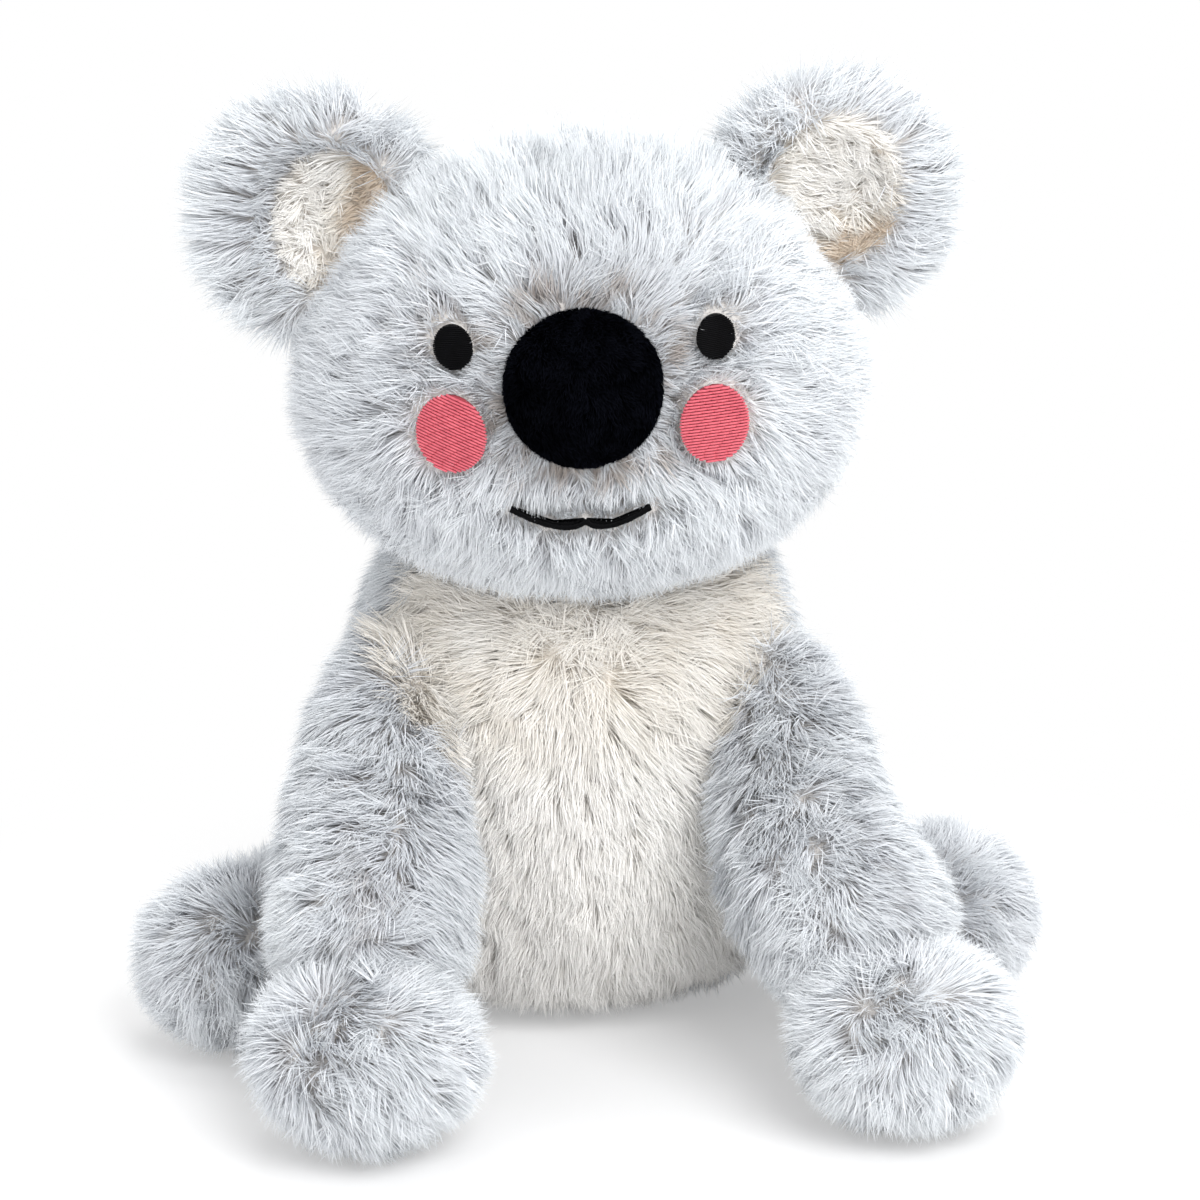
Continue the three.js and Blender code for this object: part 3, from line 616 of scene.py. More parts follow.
# Finishes. A strand's colour depends on its tone (0 brown and deep, 1 near white) and on its place
# along its length. All others go from dark to light with a fine pattern.
furFinish = {
    "greyFur": {
        "root": (0.79, 0.775, 0.765), "middle": (0.82, 0.84, 0.865), "tip": (0.885, 0.915, 0.935),
        "deep": (0.60, 0.52, 0.465), "mid": (0.85, 0.85, 0.865), "pale": (1.0, 1.0, 1.0), "specular": 0.15,
    },
    "creamFur": {
        "root": (0.94, 0.905, 0.85), "middle": (0.99, 0.97, 0.935), "tip": (1.0, 0.99, 0.97),
        "deep": (0.70, 0.60, 0.50), "mid": (0.87, 0.84, 0.795), "pale": (1.0, 1.0, 1.0), "specular": 0.15,
    },
    "blackPile": {
        "root": (0.0006, 0.0006, 0.0009), "middle": (0.0012, 0.0013, 0.0021), "tip": (0.003, 0.0034, 0.005),
        "deep": (0.4, 0.4, 0.4), "mid": (1.0, 1.0, 1.0), "pale": (1.8, 1.8, 1.9), "specular": 0.0,
    },
    "tapePile": {
        "root": (0.42, 0.44, 0.46), "middle": (0.56, 0.58, 0.60), "tip": (0.70, 0.72, 0.74),
        "deep": (0.8, 0.8, 0.8), "mid": (0.9, 0.9, 0.9), "pale": (1.0, 1.0, 1.0), "specular": 0.3,
    },
}
backingFinish = {
    "greyBacking": {"dark": (0.68, 0.65, 0.62), "light": (0.78, 0.755, 0.735), "specular": 0.1},
    "creamBacking": {"dark": (0.80, 0.74, 0.67), "light": (0.90, 0.85, 0.79), "specular": 0.1},
    "blackBacking": {"dark": (0.0005, 0.0005, 0.0007), "light": (0.001, 0.001, 0.0013), "specular": 0.0},
}
threadFinish = {
    "blackThread": {"dark": (0.0008, 0.0008, 0.001), "light": (0.003, 0.003, 0.0038),
                    "roughness": 0.5, "specular": 0.06},
    "pinkThread": {"dark": (0.56, 0.10, 0.135), "light": (0.74, 0.155, 0.195),
                   "roughness": 0.5, "specular": 0.25},
    "pinkGround": {"dark": (0.30, 0.04, 0.055), "light": (0.40, 0.06, 0.08),
                   "roughness": 0.7, "specular": 0.25},
    "liningThread": {"dark": (0.66, 0.68, 0.71), "light": (0.82, 0.83, 0.85),
                     "roughness": 0.5, "specular": 0.25},
}
clothFinish = {
    "liningCloth": {"dark": (0.40, 0.425, 0.46), "light": (0.52, 0.55, 0.59), "thread": 0.75},
    "fastenerTape": {"dark": (0.40, 0.42, 0.44), "light": (0.56, 0.58, 0.60), "thread": 0.5},
}
mouldedFinish = {
    "rubberSkin": {"dark": (0.065, 0.125, 0.20), "light": (0.095, 0.165, 0.25),
                   "roughness": 0.52, "grain": 1500.0, "metal": 0.0},
    "brassTurned": {"dark": (0.42, 0.25, 0.07), "light": (0.60, 0.40, 0.14),
                    "roughness": 0.28, "grain": 2400.0, "metal": 1.0},
    "stopperPlastic": {"dark": (0.66, 0.64, 0.585), "light": (0.72, 0.70, 0.645),
                       "roughness": 0.3, "grain": 900.0, "metal": 0.0},
    "washerRubber": {"dark": (0.008, 0.008, 0.009), "light": (0.02, 0.02, 0.022),
                     "roughness": 0.6, "grain": 1800.0, "metal": 0.0},
}


def furMaterial(name, finish):
    material, nodes, shader = newMaterial(name, {
        "Roughness": 0.62, "Specular IOR Level": finish["specular"]})
    along, tone = nodes.attribute("strandT"), nodes.attribute("strandTone")
    lengthwise = nodes.ramp(along, [(0.0, finish["root"]), (0.42, finish["middle"]), (0.95, finish["tip"])])
    tint = nodes.ramp(tone, [(0.05, finish["deep"]), (0.42, finish["mid"]), (0.8, finish["pale"])])
    nodes.plug(nodes.mix(1.0, lengthwise, tint, "MULTIPLY"), shader.inputs["Base Color"])
    return material


def dress(nodes, shader, colour, height, strength, distance):
    # a colour and a fine bump
    nodes.plug(colour, shader.inputs["Base Color"])
    bump = nodes.add("ShaderNodeBump", {"Strength": strength, "Distance": distance, "Height": height})
    nodes.plug(bump.outputs[0], shader.inputs["Normal"])


def shaded(nodes, finish, first, firstShare, second, secondShare, low=0.35, high=0.65):
    # from dark to light by two patterns
    share = nodes.math("MULTIPLY_ADD", first, firstShare, nodes.math("MULTIPLY", second, secondShare))
    return nodes.ramp(share, [(low, finish["dark"]), (high, finish["light"])])


def backingMaterial(name, finish):
    # the knitted backing that shows between the strands
    material, nodes, shader = newMaterial(name, {
        "Roughness": 0.95, "Specular IOR Level": finish["specular"]})
    place = nodes.place()
    loops = nodes.add("ShaderNodeTexVoronoi", {"Vector": place, "Scale": 1400.0}).outputs["Distance"]
    colour = nodes.ramp(nodes.noise(place, 90.0, 3.0), [(0.35, finish["dark"]), (0.65, finish["light"])])
    colour = nodes.mix(nodes.math("MULTIPLY", loops, 0.6), colour, finish["dark"])
    dress(nodes, shader, colour, loops, 0.4, 0.0003)
    return material


def threadMaterial(name, finish):
    # dyed machine thread: fine twisted fibres, a little sheen
    material, nodes, shader = newMaterial(name, {
        "Roughness": finish["roughness"], "Specular IOR Level": finish["specular"]})
    place = nodes.place()
    twist, patch = nodes.noise(place, 2600.0, 2.0), nodes.noise(place, 240.0, 1.0)
    dress(nodes, shader, shaded(nodes, finish, twist, 0.6, patch, 0.4), twist, 0.3, 0.0001)
    return material


def wovenMaterial(name, finish):
    material, nodes, shader = newMaterial(name, {"Roughness": 0.85, "Specular IOR Level": 0.2})
    place = nodes.place()
    perMetre = fullTurn / (finish["thread"] * mm)
    x, y, z = (nodes.math("SINE", nodes.math("MULTIPLY", axis, perMetre)) for axis in nodes.separate(place))
    weave = nodes.math("MULTIPLY_ADD", x, z, nodes.math("MULTIPLY", y, z))
    height = nodes.math("MULTIPLY_ADD", weave, 0.35, 0.5)
    slub = nodes.noise(place, 160.0, 4.0)
    dress(nodes, shader, shaded(nodes, finish, slub, 0.7, height, 0.35, 0.3, 0.75), height, 0.35, 0.0002)
    return material


def mouldedMaterial(name, finish):
    material, nodes, shader = newMaterial(name, {
        "Roughness": finish["roughness"], "Metallic": finish["metal"]})
    place = nodes.place()
    patch, fine = nodes.noise(place, 45.0, 5.0), nodes.noise(place, finish["grain"], 2.0)
    dress(nodes, shader, shaded(nodes, finish, fine, 0.25, patch, 0.75), fine, 0.12, 0.0001)
    return material


looks = {}
for maker, finishes in ((furMaterial, furFinish), (backingMaterial, backingFinish),
                        (threadMaterial, threadFinish), (wovenMaterial, clothFinish),
                        (mouldedMaterial, mouldedFinish)):
    for name, finish in finishes.items():
        looks[name] = maker(name, finish)
print("finishes made")

# Face: outlines of the embroidery and the nose, across and up from the head's middle
face = {
    "eyeHalf": (5.5, 6.1), "eyeSpread": 37.3, "eyeRise": 19.7,
    "cheekHalf": (9.8, 11.4), "cheekSpread": 37.6, "cheekShift": -1.4, "cheekRise": -5,
    "mouthHalfWidth": {-1: 21.2, 1: 18.6}, "mouthShift": -1.6, "mouthRise": -34.2,
    "mouthLift": {-1: 6.3, 1: 5.4}, "mouthMiddleLift": 2.0, "mouthSag": 3.2, "mouthSagAt": 0.26,
    "mouthGap": 0.3, "stitchWidth": 1.5, "stitchInset": 4, "frontFrom": -15,
    "noseHalf": (23.3, 15, 23.9), "noseCentre": (-1.0, -56, 8),
}
sides = {-1: "left", 1: "right"}
eyes = {way: (way * face["eyeSpread"], face["eyeRise"]) for way in sides}
cheeks = {way: (way * face["cheekSpread"] + face["cheekShift"], face["cheekRise"]) for way in sides}


def smileLine(way, count):
    share = np.linspace(0, 1, count)[:, None]
    start, half = np.array([face["mouthShift"], face["mouthRise"]]), face["mouthHalfWidth"][way]
    corner = start + np.array([way * half, face["mouthLift"][way]])
    middle = start + np.array([way * face["mouthGap"] / 2, face["mouthMiddleLift"]])
    control = start + np.array([way * half * face["mouthSagAt"], -face["mouthSag"]])
    return (1 - share) ** 2 * corner + 2 * share * (1 - share) * control + share ** 2 * middle


def faceGaps(points):
    # for each point of the head, its distance from the nearest embroidery and the way to it
    gaps, ways = [], []
    for middles, half in ((eyes, face["eyeHalf"]), (cheeks, face["cheekHalf"])):
        for centre in middles.values():
            off = (points[:, [0, 2]] - np.array(centre)) / np.array(half)
            gaps.append((np.linalg.norm(off, axis=1) - 1) * (half[0] + half[1]) / 2)
            ways.append(unit(headFront([centre], face["stitchInset"]) - points))
    smiles = np.vstack([smileLine(way, 16) for way in sides])
    off = np.linalg.norm(points[:, None, [0, 2]] - smiles[None], axis=2)
    gaps.append(off.min(axis=1) - face["stitchWidth"] / 2)
    ways.append(unit(headFront(smiles, face["stitchInset"])[off.argmin(axis=1)] - points))
    pick = np.argmin(gaps, axis=0), np.arange(len(points))
    return np.where(points[:, 1] < face["frontFrom"], np.array(gaps)[pick], 99), np.array(ways)[pick]


# Limbs: a middle line out from the body's side, a radius along it and a round paw or foot at its end.
# An arm's pile is parted from the cream front, which covers it up to "bib" at each height.
limbs = {
    "arm_left": {
        "line": [(-25, 8, 124), (-15, -18, 100), (-10, -54, 66), (-5, -84, 42)],
        "radii": (17, 26, 32, 31), "end": (35, 36, 29.5), "forward": 10, "source": (-102, -120, 64),
        "bib": ((62, 21), (74, 28), (89, 36), (96, 47), (110, 55), (122, 60), (140, 63)),
        "parting": [(-71, 93), (-69, 64)], "paintedLight": 0.03,
    },
    "arm_right": {
        "line": [(-23, 8, 120), (-17, -18, 96), (-12, -54, 64), (7, -85, 42)],
        "radii": (17, 26, 32, 31), "end": (35, 36, 29.5), "forward": 10, "source": (56, -118, 66),
        "bib": ((62, 22), (69, 27), (75, 32), (88, 38), (101, 46), (112, 51), (126, 55), (140, 58)),
        "parting": [(69, 89), (78.5, 65), (82, 51)], "paintedLight": 0.08,
    },
    "leg_left": {
        "line": [(-45, 30, 40), (-5, 6, 34), (30, -12, 30)],
        "radii": (24, 27, 27), "end": (33, 34, 29), "forward": 0, "source": (-85, -30, 52),
    },
    "leg_right": {
        "line": [(-41, 32, 40), (-1, 14, 34), (35, 2, 30)],
        "radii": (24, 27, 27), "end": (33, 34, 29), "forward": 0, "source": (88, -20, 52),
    },
}


def between(first, last, low, high, at):
    return ((high - at) * first + (at - low) * last) / (high - low)


def limbLine(points, count=48):
    # the smooth middle line through a limb's points, evenly spaced
    points = np.array(points, float)
    padded = np.vstack([2 * points[0] - points[1], points, 2 * points[-1] - points[-2]])
    line = []
    for index in range(len(points) - 1):
        four = padded[index:index + 4]
        knots = np.cumsum([0, *np.linalg.norm(np.diff(four, axis=0), axis=1) ** 0.5])
        for t in np.linspace(knots[1], knots[2], 30, endpoint=False):
            first = [between(four[i], four[i + 1], knots[i], knots[i + 1], t) for i in range(3)]
            second = [between(first[i], first[i + 1], knots[i], knots[i + 2], t) for i in range(2)]
            line.append(between(*second, knots[1], knots[2], t))
    line = np.array(line + [points[-1]])
    length = lineLengths(line)[-1]
    return alongLine(line, np.linspace(0, length, count)), length


for name, limb in limbs.items():
    limb["way"] = -1 if name.endswith("left") else 1
    points = [(limb["way"] * (bodyForm["halfWidth"] + out), y, z) for out, y, z in limb["line"]]
    limb["middle"], limb["length"] = limbLine(points)
    share = np.linspace(0, len(limb["radii"]) - 1, len(limb["middle"]))
    limb["radius"] = np.interp(share, range(len(limb["radii"])), limb["radii"])
    limb["endPlace"] = np.array([points[-1][0], points[-1][1] - limb["forward"], limb["end"][2] - 0.5])


def limbRadii(limb, inset, least):
    # the tube's radius along its middle line, rounded off at both ends
    along = np.linspace(0, limb["length"], len(limb["middle"]))
    fromEnd = np.minimum(along, limb["length"] - along)
    radius = np.maximum(limb["radius"] - inset, 1)
    rounded = np.sqrt(np.maximum(1 - (1 - fromEnd / radius) ** 2, least))
    return radius * np.where(fromEnd < radius, rounded, 1)


def insideLimb(points, name, inset):
    limb = limbs[name]
    fromMiddle = np.linalg.norm(points[:, None] - limb["middle"][None], axis=2)
    tube = (fromMiddle / limbRadii(limb, inset, 0.01)[None]).min(axis=1)
    return np.minimum(tube, roundShare(points - limb["endPlace"], np.array(limb["end"]) - inset))


# Head: a stuffed form, its pile combed outwards from the nose. Noises are given as size, seed, most.
headPile = {
    "length": 14.5 * mm, "tone": 0.66, "lay": 0.55, "inset": 8.0, "seed": 11,
    "padRise": 5.0, "padEdge": (4.0, -0.5), "combFrom": (0, 6, -2), "stubble": 0.27, "topLonger": 0.22,
    "swirl": (26, 1, 0.6), "curl": (9, 51, 0.7), "ruffle": (2.6, 151, 2.0), "patches": (4.5, 155),
    "toneNoise": (17, 4, 0.12), "layNoise": (20, 5, 0.25), "leftPaintedShade": 0.2,
}
ballDirections, ballFaces = ballWays(7)
local = headSurface(ballDirections, headPile["inset"])
# under the embroidery the form rises to its pads
rise = smooth(*headPile["padEdge"], faceGaps(local)[0])
normalWay = unit(local / np.array([headForm["halfWidth"], headForm["halfDepth"], headForm["rise"]]) ** 2)
local = local + normalWay * (rise * headPile["padRise"])[:, None]
gap, toFace = faceGaps(local)
headBase = toyMesh("head_base", headPlaced(local), ballFaces, looks["greyBacking"])
points, normals = meshPoints(headBase)
noseCentre = np.array(face["noseCentre"])
hang = smooth(-5, -45, local[:, 2])
top = smooth(30, 62, local[:, 2])
comb = unit(local - noseCentre - headPile["combFrom"]) + np.outer(hang, [0, 0, -0.9])
comb += np.outer(top, [-0.2, 0.0, 0.3]) + noiseWay(local, *headPile["swirl"])
comb = unit(comb + noiseWay(local, *headPile["curl"]))
noseGap = (roundShare(local - noseCentre, face["noseHalf"]) - 1) * 20
# strands that point at the embroidery are short, less so beside the cheeks, and there is stubble round it
upwind = np.einsum("ij,ij->i", comb, toFace)
fringe = smooth(20, 13, np.abs(local[:, 2] - face["cheekRise"]))
shorten = 1 - (0.68 - 0.26 * fringe) * smooth(14, 2, gap) * smooth(-0.1, 0.5, upwind)
shorten *= 1 - 0.45 * smooth(9, 0, noseGap)
chin = smooth(12, 0, np.hypot(local[:, 0], local[:, 2] + 22) - 8) * (local[:, 1] < 0)
shorten *= 1 - 0.3 * chin
ring = smooth(3.4, 1.2, gap)
shorten = shorten * (1 - ring) + headPile["stubble"] * ring
comb = comb * (1 - 0.5 * ring)[:, None] + noiseWay(local, *headPile["ruffle"]) * ring[:, None]
# painted shade, brown and broken into patches, round the nose, at the chin and above the eyes
patchy = smooth(-0.2, 0.4, noise(local, *headPile["patches"]))
brown = smooth(10, 2, np.abs(noseGap - 3)) * (0.12 + 0.42 * patchy) + 0.2 * chin * patchy
brown *= 1 - 0.5 * smooth(-10, -24, local[:, 2])
brown += 0.3 * smooth(9, 3, gap) * patchy * (local[:, 2] > 10)
# painted light and shade: the head's pile is paler on top and darker on its left side, as the light falls
tone = headPile["tone"] + noise(local, *headPile["toneNoise"]) + 0.08 * top - brown
tone -= headPile["leftPaintedShade"] * smooth(-15, -70, local[:, 0])
lee = smooth(7, 1, gap) * smooth(0.2, -0.4, upwind)
lay = headPile["lay"] + noise(local, *headPile["layNoise"]) - 0.55 * top - 0.5 * lee
storePile(headBase, skinOut=normals, combWay=comb @ headMatrix.T,
          pileLength=headPile["length"] * (1 + headPile["topLonger"] * top) * shorten,
          pileTone=tone, pileLay=lay * (1 - ring) - 0.1 * ring,
          pileDensity=(gap > 0.2) & (noseGap > -1.5) & (insideBody(points, 6) > 1))
front = local[:, 1] < 6
onLeft = local[:, 0] < 0
headFurs = growSectors(headBase, ["head_fur_left", "head_fur_right", "head_fur_back"],
                       [front & onLeft, front & ~onLeft, ~front], looks["greyFur"], headPile["seed"])
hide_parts("head_skin", "head_filling")
joinBody("toy", "grey_fur", headBase, *headFurs)
print("head made")

# Nose: an oval of short black pile
nosePile = {
    "length": 2.6 * mm, "inset": 1.4, "lay": 0.75, "tone": 0.5, "seed": 31, "flatBack": -44,
    "uneven": (17, 156, 0.022), "drawnTop": 0.03, "swirl": (9, 6, 0.5), "toneNoise": (5, 9, 0.35),
    "pile": {"Strands per Square Metre": 5.2e6, "Half Width": 0.15 * mm, "Tuft Pull": 0.15,
             "Strand Stray": 0.6, "Tone Spread": 0.35, "Normal Softness": 0.4},
}
noseWays, noseFaces = ballWays(5)
uneven = 1 + noise(noseWays * 20, *nosePile["uneven"])
uneven -= nosePile["drawnTop"] * smooth(0.3, 1.0, noseWays[:, 2])
noseForm = noseWays * (np.array(face["noseHalf"]) - nosePile["inset"]) * uneven[:, None] + noseCentre
noseForm[:, 1] = np.minimum(noseForm[:, 1], nosePile["flatBack"])
noseBase = toyMesh("nose_base", headPlaced(noseForm), noseFaces, looks["blackBacking"])
comb = np.array([0.25, 0, -1]) + noiseWay(noseForm, *nosePile["swirl"])
storePile(noseBase, skinOut=meshPoints(noseBase)[1], combWay=comb @ headMatrix.T,
          pileLength=nosePile["length"], pileTone=nosePile["tone"] + noise(noseForm, *nosePile["toneNoise"]),
          pileLay=nosePile["lay"], pileDensity=noseForm[:, 1] < nosePile["flatBack"] - 1)
noseFur = growFur(noseBase, "nose_pile", looks["blackPile"], nosePile["seed"], nosePile["pile"])
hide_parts("nose")
joinBody("toy", "black_pile", noseBase, noseFur)
print("nose made")


# Geometry Nodes: sewing threads along guide lines
def buildThreadTree():
    tree, w, given, result = newTree("sewnThreads", {
        "Radius": "Float", "Sides": "Int", "Thread": "Material"})
    curves = w.add("GeometryNodeMeshToCurve", {"Mesh": given["Geometry"]}).outputs[0]
    profile = w.add("GeometryNodeCurvePrimitiveCircle",
                    {"Resolution": given["Sides"], "Radius": given["Radius"]}).outputs[0]
    tubes = w.add("GeometryNodeCurveToMesh", {"Curve": curves, "Profile Curve": profile, "Fill Caps": True})
    solid = w.add("GeometryNodeRealizeInstances", {"Geometry": tubes.outputs[0]}).outputs[0]
    painted = w.add("GeometryNodeSetMaterial", {"Geometry": solid, "Material": given["Thread"]})
    tree.links.new(painted.outputs[0], result.inputs[0])
    return tree


threadTree = buildThreadTree()
stitching = {
    "eye": {"row": 0.52, "radius": 0.27, "stitch": 0, "slant": {-1: 4, 1: 4}, "jag": 0.25, "seed": 5},
    "cheek": {"row": 0.88, "radius": 0.36, "stitch": 3.4, "slant": {-1: -24, 1: 1}, "jag": 0.2, "seed": 6},
    "mouthStep": 0.40, "mouthRadius": 0.30, "mouthSeed": 7, "mouthProud": 0.9, "mouthPadInset": -0.5,
    "proud": 0.25, "dip": 0.48, "padInset": 0.35, "padDepth": 2.4, "padShrink": 0.2, "padRings": 6,
    "sides": 6,
}


def sewLines(name, lines, radius, material):
    # threads along lines of points in the toy's millimetres
    edges, start = [], 0
    for line in lines:
        edges += [(start + i, start + i + 1) for i in range(len(line) - 1)]
        start += len(line)
    guides = toyMesh(name + "Guides", np.vstack(lines), [], edges=edges)
    values = {"Radius": radius * mm, "Sides": stitching["sides"], "Thread": material}
    threads = treeResult(guides, threadTree, values, name)
    bpy.data.objects.remove(guides)
    shadeSmooth(threads.data)
    return threads


def padUnder(name, outline, padInset):
    # a closed thin patch on the head's front inside an outline given across and up
    rings, count = stitching["padRings"], len(outline)
    middle = outline.mean(axis=0)
    flat = [middle + (outline - middle) * ring / rings for ring in range(1, rings + 1)]
    flat = np.vstack([middle, *flat])
    layers = [headFront(flat, inset) for inset in (padInset, stitching["padDepth"])]
    size, last = len(flat), 1 + (rings - 1) * count
    faces = []
    for i in range(count):
        j = (i + 1) % count
        for layer, order in ((0, 1), (size, -1)):
            faces.append((layer, layer + 1 + i, layer + 1 + j)[::order])
            for ring in range(rings - 1):
                a, b = layer + 1 + ring * count + i, layer + 1 + ring * count + j
                faces.append((a, a + count, b + count, b)[::order])
        faces.append((last + i, size + last + i, size + last + j, last + j))
    return toyMesh(name, headPlaced(np.vstack(layers)), faces)


def sewThreads(part, side, lines, radius, outline, material, ground=None, padInset=stitching["padInset"]):
    # a thin pad under the threads, and the threads on it, as one piece
    name = f"{part}_stitches_{side}"
    threads = sewLines(name, [headPlaced(line) for line in lines], radius, material)
    pad = padUnder(name + "Pad", outline, padInset)
    padFrom = len(threads.data.polygons)
    join = bmesh.new()
    join.from_mesh(threads.data)
    join.from_mesh(pad.data)
    join.to_mesh(threads.data)
    join.free()
    bpy.data.objects.remove(pad)
    count = len(threads.data.polygons)
    threads.data.materials.clear()
    threads.data.materials.append(material)
    threads.data.materials.append(ground or material)
    threads.data.polygons.foreach_set("material_index", [int(i >= padFrom) for i in range(count)])
    shadeSmooth(threads.data)
    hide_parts(f"{part}_{side}")
    joinBody("toy", "pink_thread" if ground else "black_thread", threads)
    print(name, "has", count, "faces")


def ovalOutline(centre, half):
    turns = turnsRound(40)
    return np.array(centre) + np.column_stack([np.cos(turns), np.sin(turns)]) * (
        np.array(half) - stitching["padShrink"])


def ovalRows(centre, half, slant, spacing, stitch, jag, seed):
    # rows across an oval; with a stitch length each row is split into staggered stitches
    random = np.random.default_rng(seed)
    turn = math.radians(slant)
    along, over = np.array([math.cos(turn), math.sin(turn)]), np.array([-math.sin(turn), math.cos(turn)])
    half = np.array(half)
    reach, dip = half.max(), stitching["dip"]
    lines = []
    for row, offset in enumerate(np.arange(-reach + spacing / 2, reach, spacing)):
        # where the row's straight line meets the oval
        a = ((along / half) ** 2).sum()
        b = 2 * offset * (along * over / half ** 2).sum()
        c = offset ** 2 * ((over / half) ** 2).sum() - 1
        inside = b * b - 4 * a * c
        if inside <= 0.0008:
            continue
        low = (-b - math.sqrt(inside)) / (2 * a) - random.uniform(0, jag)
        high = (-b + math.sqrt(inside)) / (2 * a) + random.uniform(0, jag)
        cuts = [low, high]
        if stitch:
            first = low + (row % 3) * stitch / 3 + random.uniform(-0.15, 0.15)
            cuts[1:1] = [cut for cut in np.arange(first, high, stitch) if low + 0.8 < cut < high - 0.8]
        for start, end in zip(cuts[:-1], cuts[1:]):
            places = start + (end - start) * np.array([0, 0.12, 0.5, 0.88, 1])
            spots = np.array(centre) + np.outer(places, along) + offset * over
            proud = stitching["proud"] + random.uniform(-0.04, 0.04)
            lines.append(headFront(spots, np.array([dip, 0.04, 0, 0.04, dip]) - proud))
    return lines


def smileStitches(way):
    random = np.random.default_rng(stitching["mouthSeed"])
    line = smileLine(way, 200)
    lines = []
    for place in np.arange(0, lineLengths(line)[-1], stitching["mouthStep"]):
        behind, spot, ahead = alongLine(line, place + np.array([-0.5, 0, 0.5]))
        tangent = unit(ahead - behind)
        across = np.array([-tangent[1], tangent[0]]) + 0.25 * tangent
        half = face["stitchWidth"] / 2 + random.uniform(-0.12, 0.12)
        spots = spot + np.outer(np.array([-1, -0.75, 0, 0.75, 1]) * half, across)
        lines.append(headFront(spots, np.array([0.8, 0.15, 0, 0.15, 0.8]) - stitching["mouthProud"]))
    return lines


def smileOutline(way):
    line = smileLine(way, 14)
    tangent = np.gradient(line, axis=0)
    across = unit(np.column_stack([-tangent[:, 1], tangent[:, 0]]))
    half = face["stitchWidth"] / 2 - stitching["padShrink"]
    edge = np.vstack([line + across * half, (line - across * half)[::-1]])
    return edge if way < 0 else edge[::-1]


for way, side in sides.items():
    for part, centre, thread, ground in (("eye", eyes[way], "blackThread", None),
                                         ("cheek", cheeks[way], "pinkThread", looks["pinkGround"])):
        facts, half = stitching[part], face[part + "Half"]
        rows = ovalRows(centre, half, facts["slant"][way], facts["row"], facts["stitch"], facts["jag"],
                        facts["seed"])
        sewThreads(part, side, rows, facts["radius"], ovalOutline(centre, half), looks[thread], ground)
    sewThreads("mouth", side, smileStitches(way), stitching["mouthRadius"], smileOutline(way),
               looks["blackThread"], padInset=stitching["mouthPadInset"])
print("face sewn")

# Ears: round grey pads, hollow in front, with a cream panel in the hollow. The panel is deeper in
# tone on one side with painted shade, where the bowl folds, with a weight for the places across and up.
ear = {
    "half": (38, 15, 38), "place": (76, 12, 47), "turn": 12, "bowlHalf": (23, 13, 26),
    "bowlForward": 12, "bowlIn": 5, "inset": 6.5, "seed": 41, "length": 15.5 * mm,
    "panelMiddle": {-1: (7, -2.5), 1: (-0.5, 2.5)}, "panelHalf": (19.5, 22.5), "panelProud": 0.4,
    "panelThick": 1.6, "panelLength": 8.5, "panelShorter": 3.5, "shade": {-1: (1, -0.35), 1: (0.3, -0.9)},
    "swirl": (14, 10, 0.5), "curl": (7, 60, 0.7), "tone": 0.64, "toneNoise": (12, 13, 0.14), "lay": 0.5,
    "layNoise": (12, 14, 0.25), "panelSwirl": (9, 15, 1.1), "panelTone": 0.78, "panelToneNoise": (9, 18, 0.2),
    "panelPaintedShade": 0.75, "panelLay": 0.6, "panelLayNoise": (9, 19, 0.25),
}


def earPlaced(points, way):
    spin = turnedZ(math.radians(way * ear["turn"]))
    place = np.array([way * ear["place"][0], ear["place"][1], ear["place"][2]])
    return headPlaced(points @ spin.T + place), spin.T @ headMatrix.T


def closedShell(faces, count):
    # a sheet's faces, the same for its back, and a border between them
    directed = {(a, b) for f in faces for a, b in zip(f, f[1:] + f[:1])}
    border = [(b, a, a + count, b + count) for a, b in directed if (b, a) not in directed]
    return faces + [tuple(i + count for i in f[::-1]) for f in faces] + border


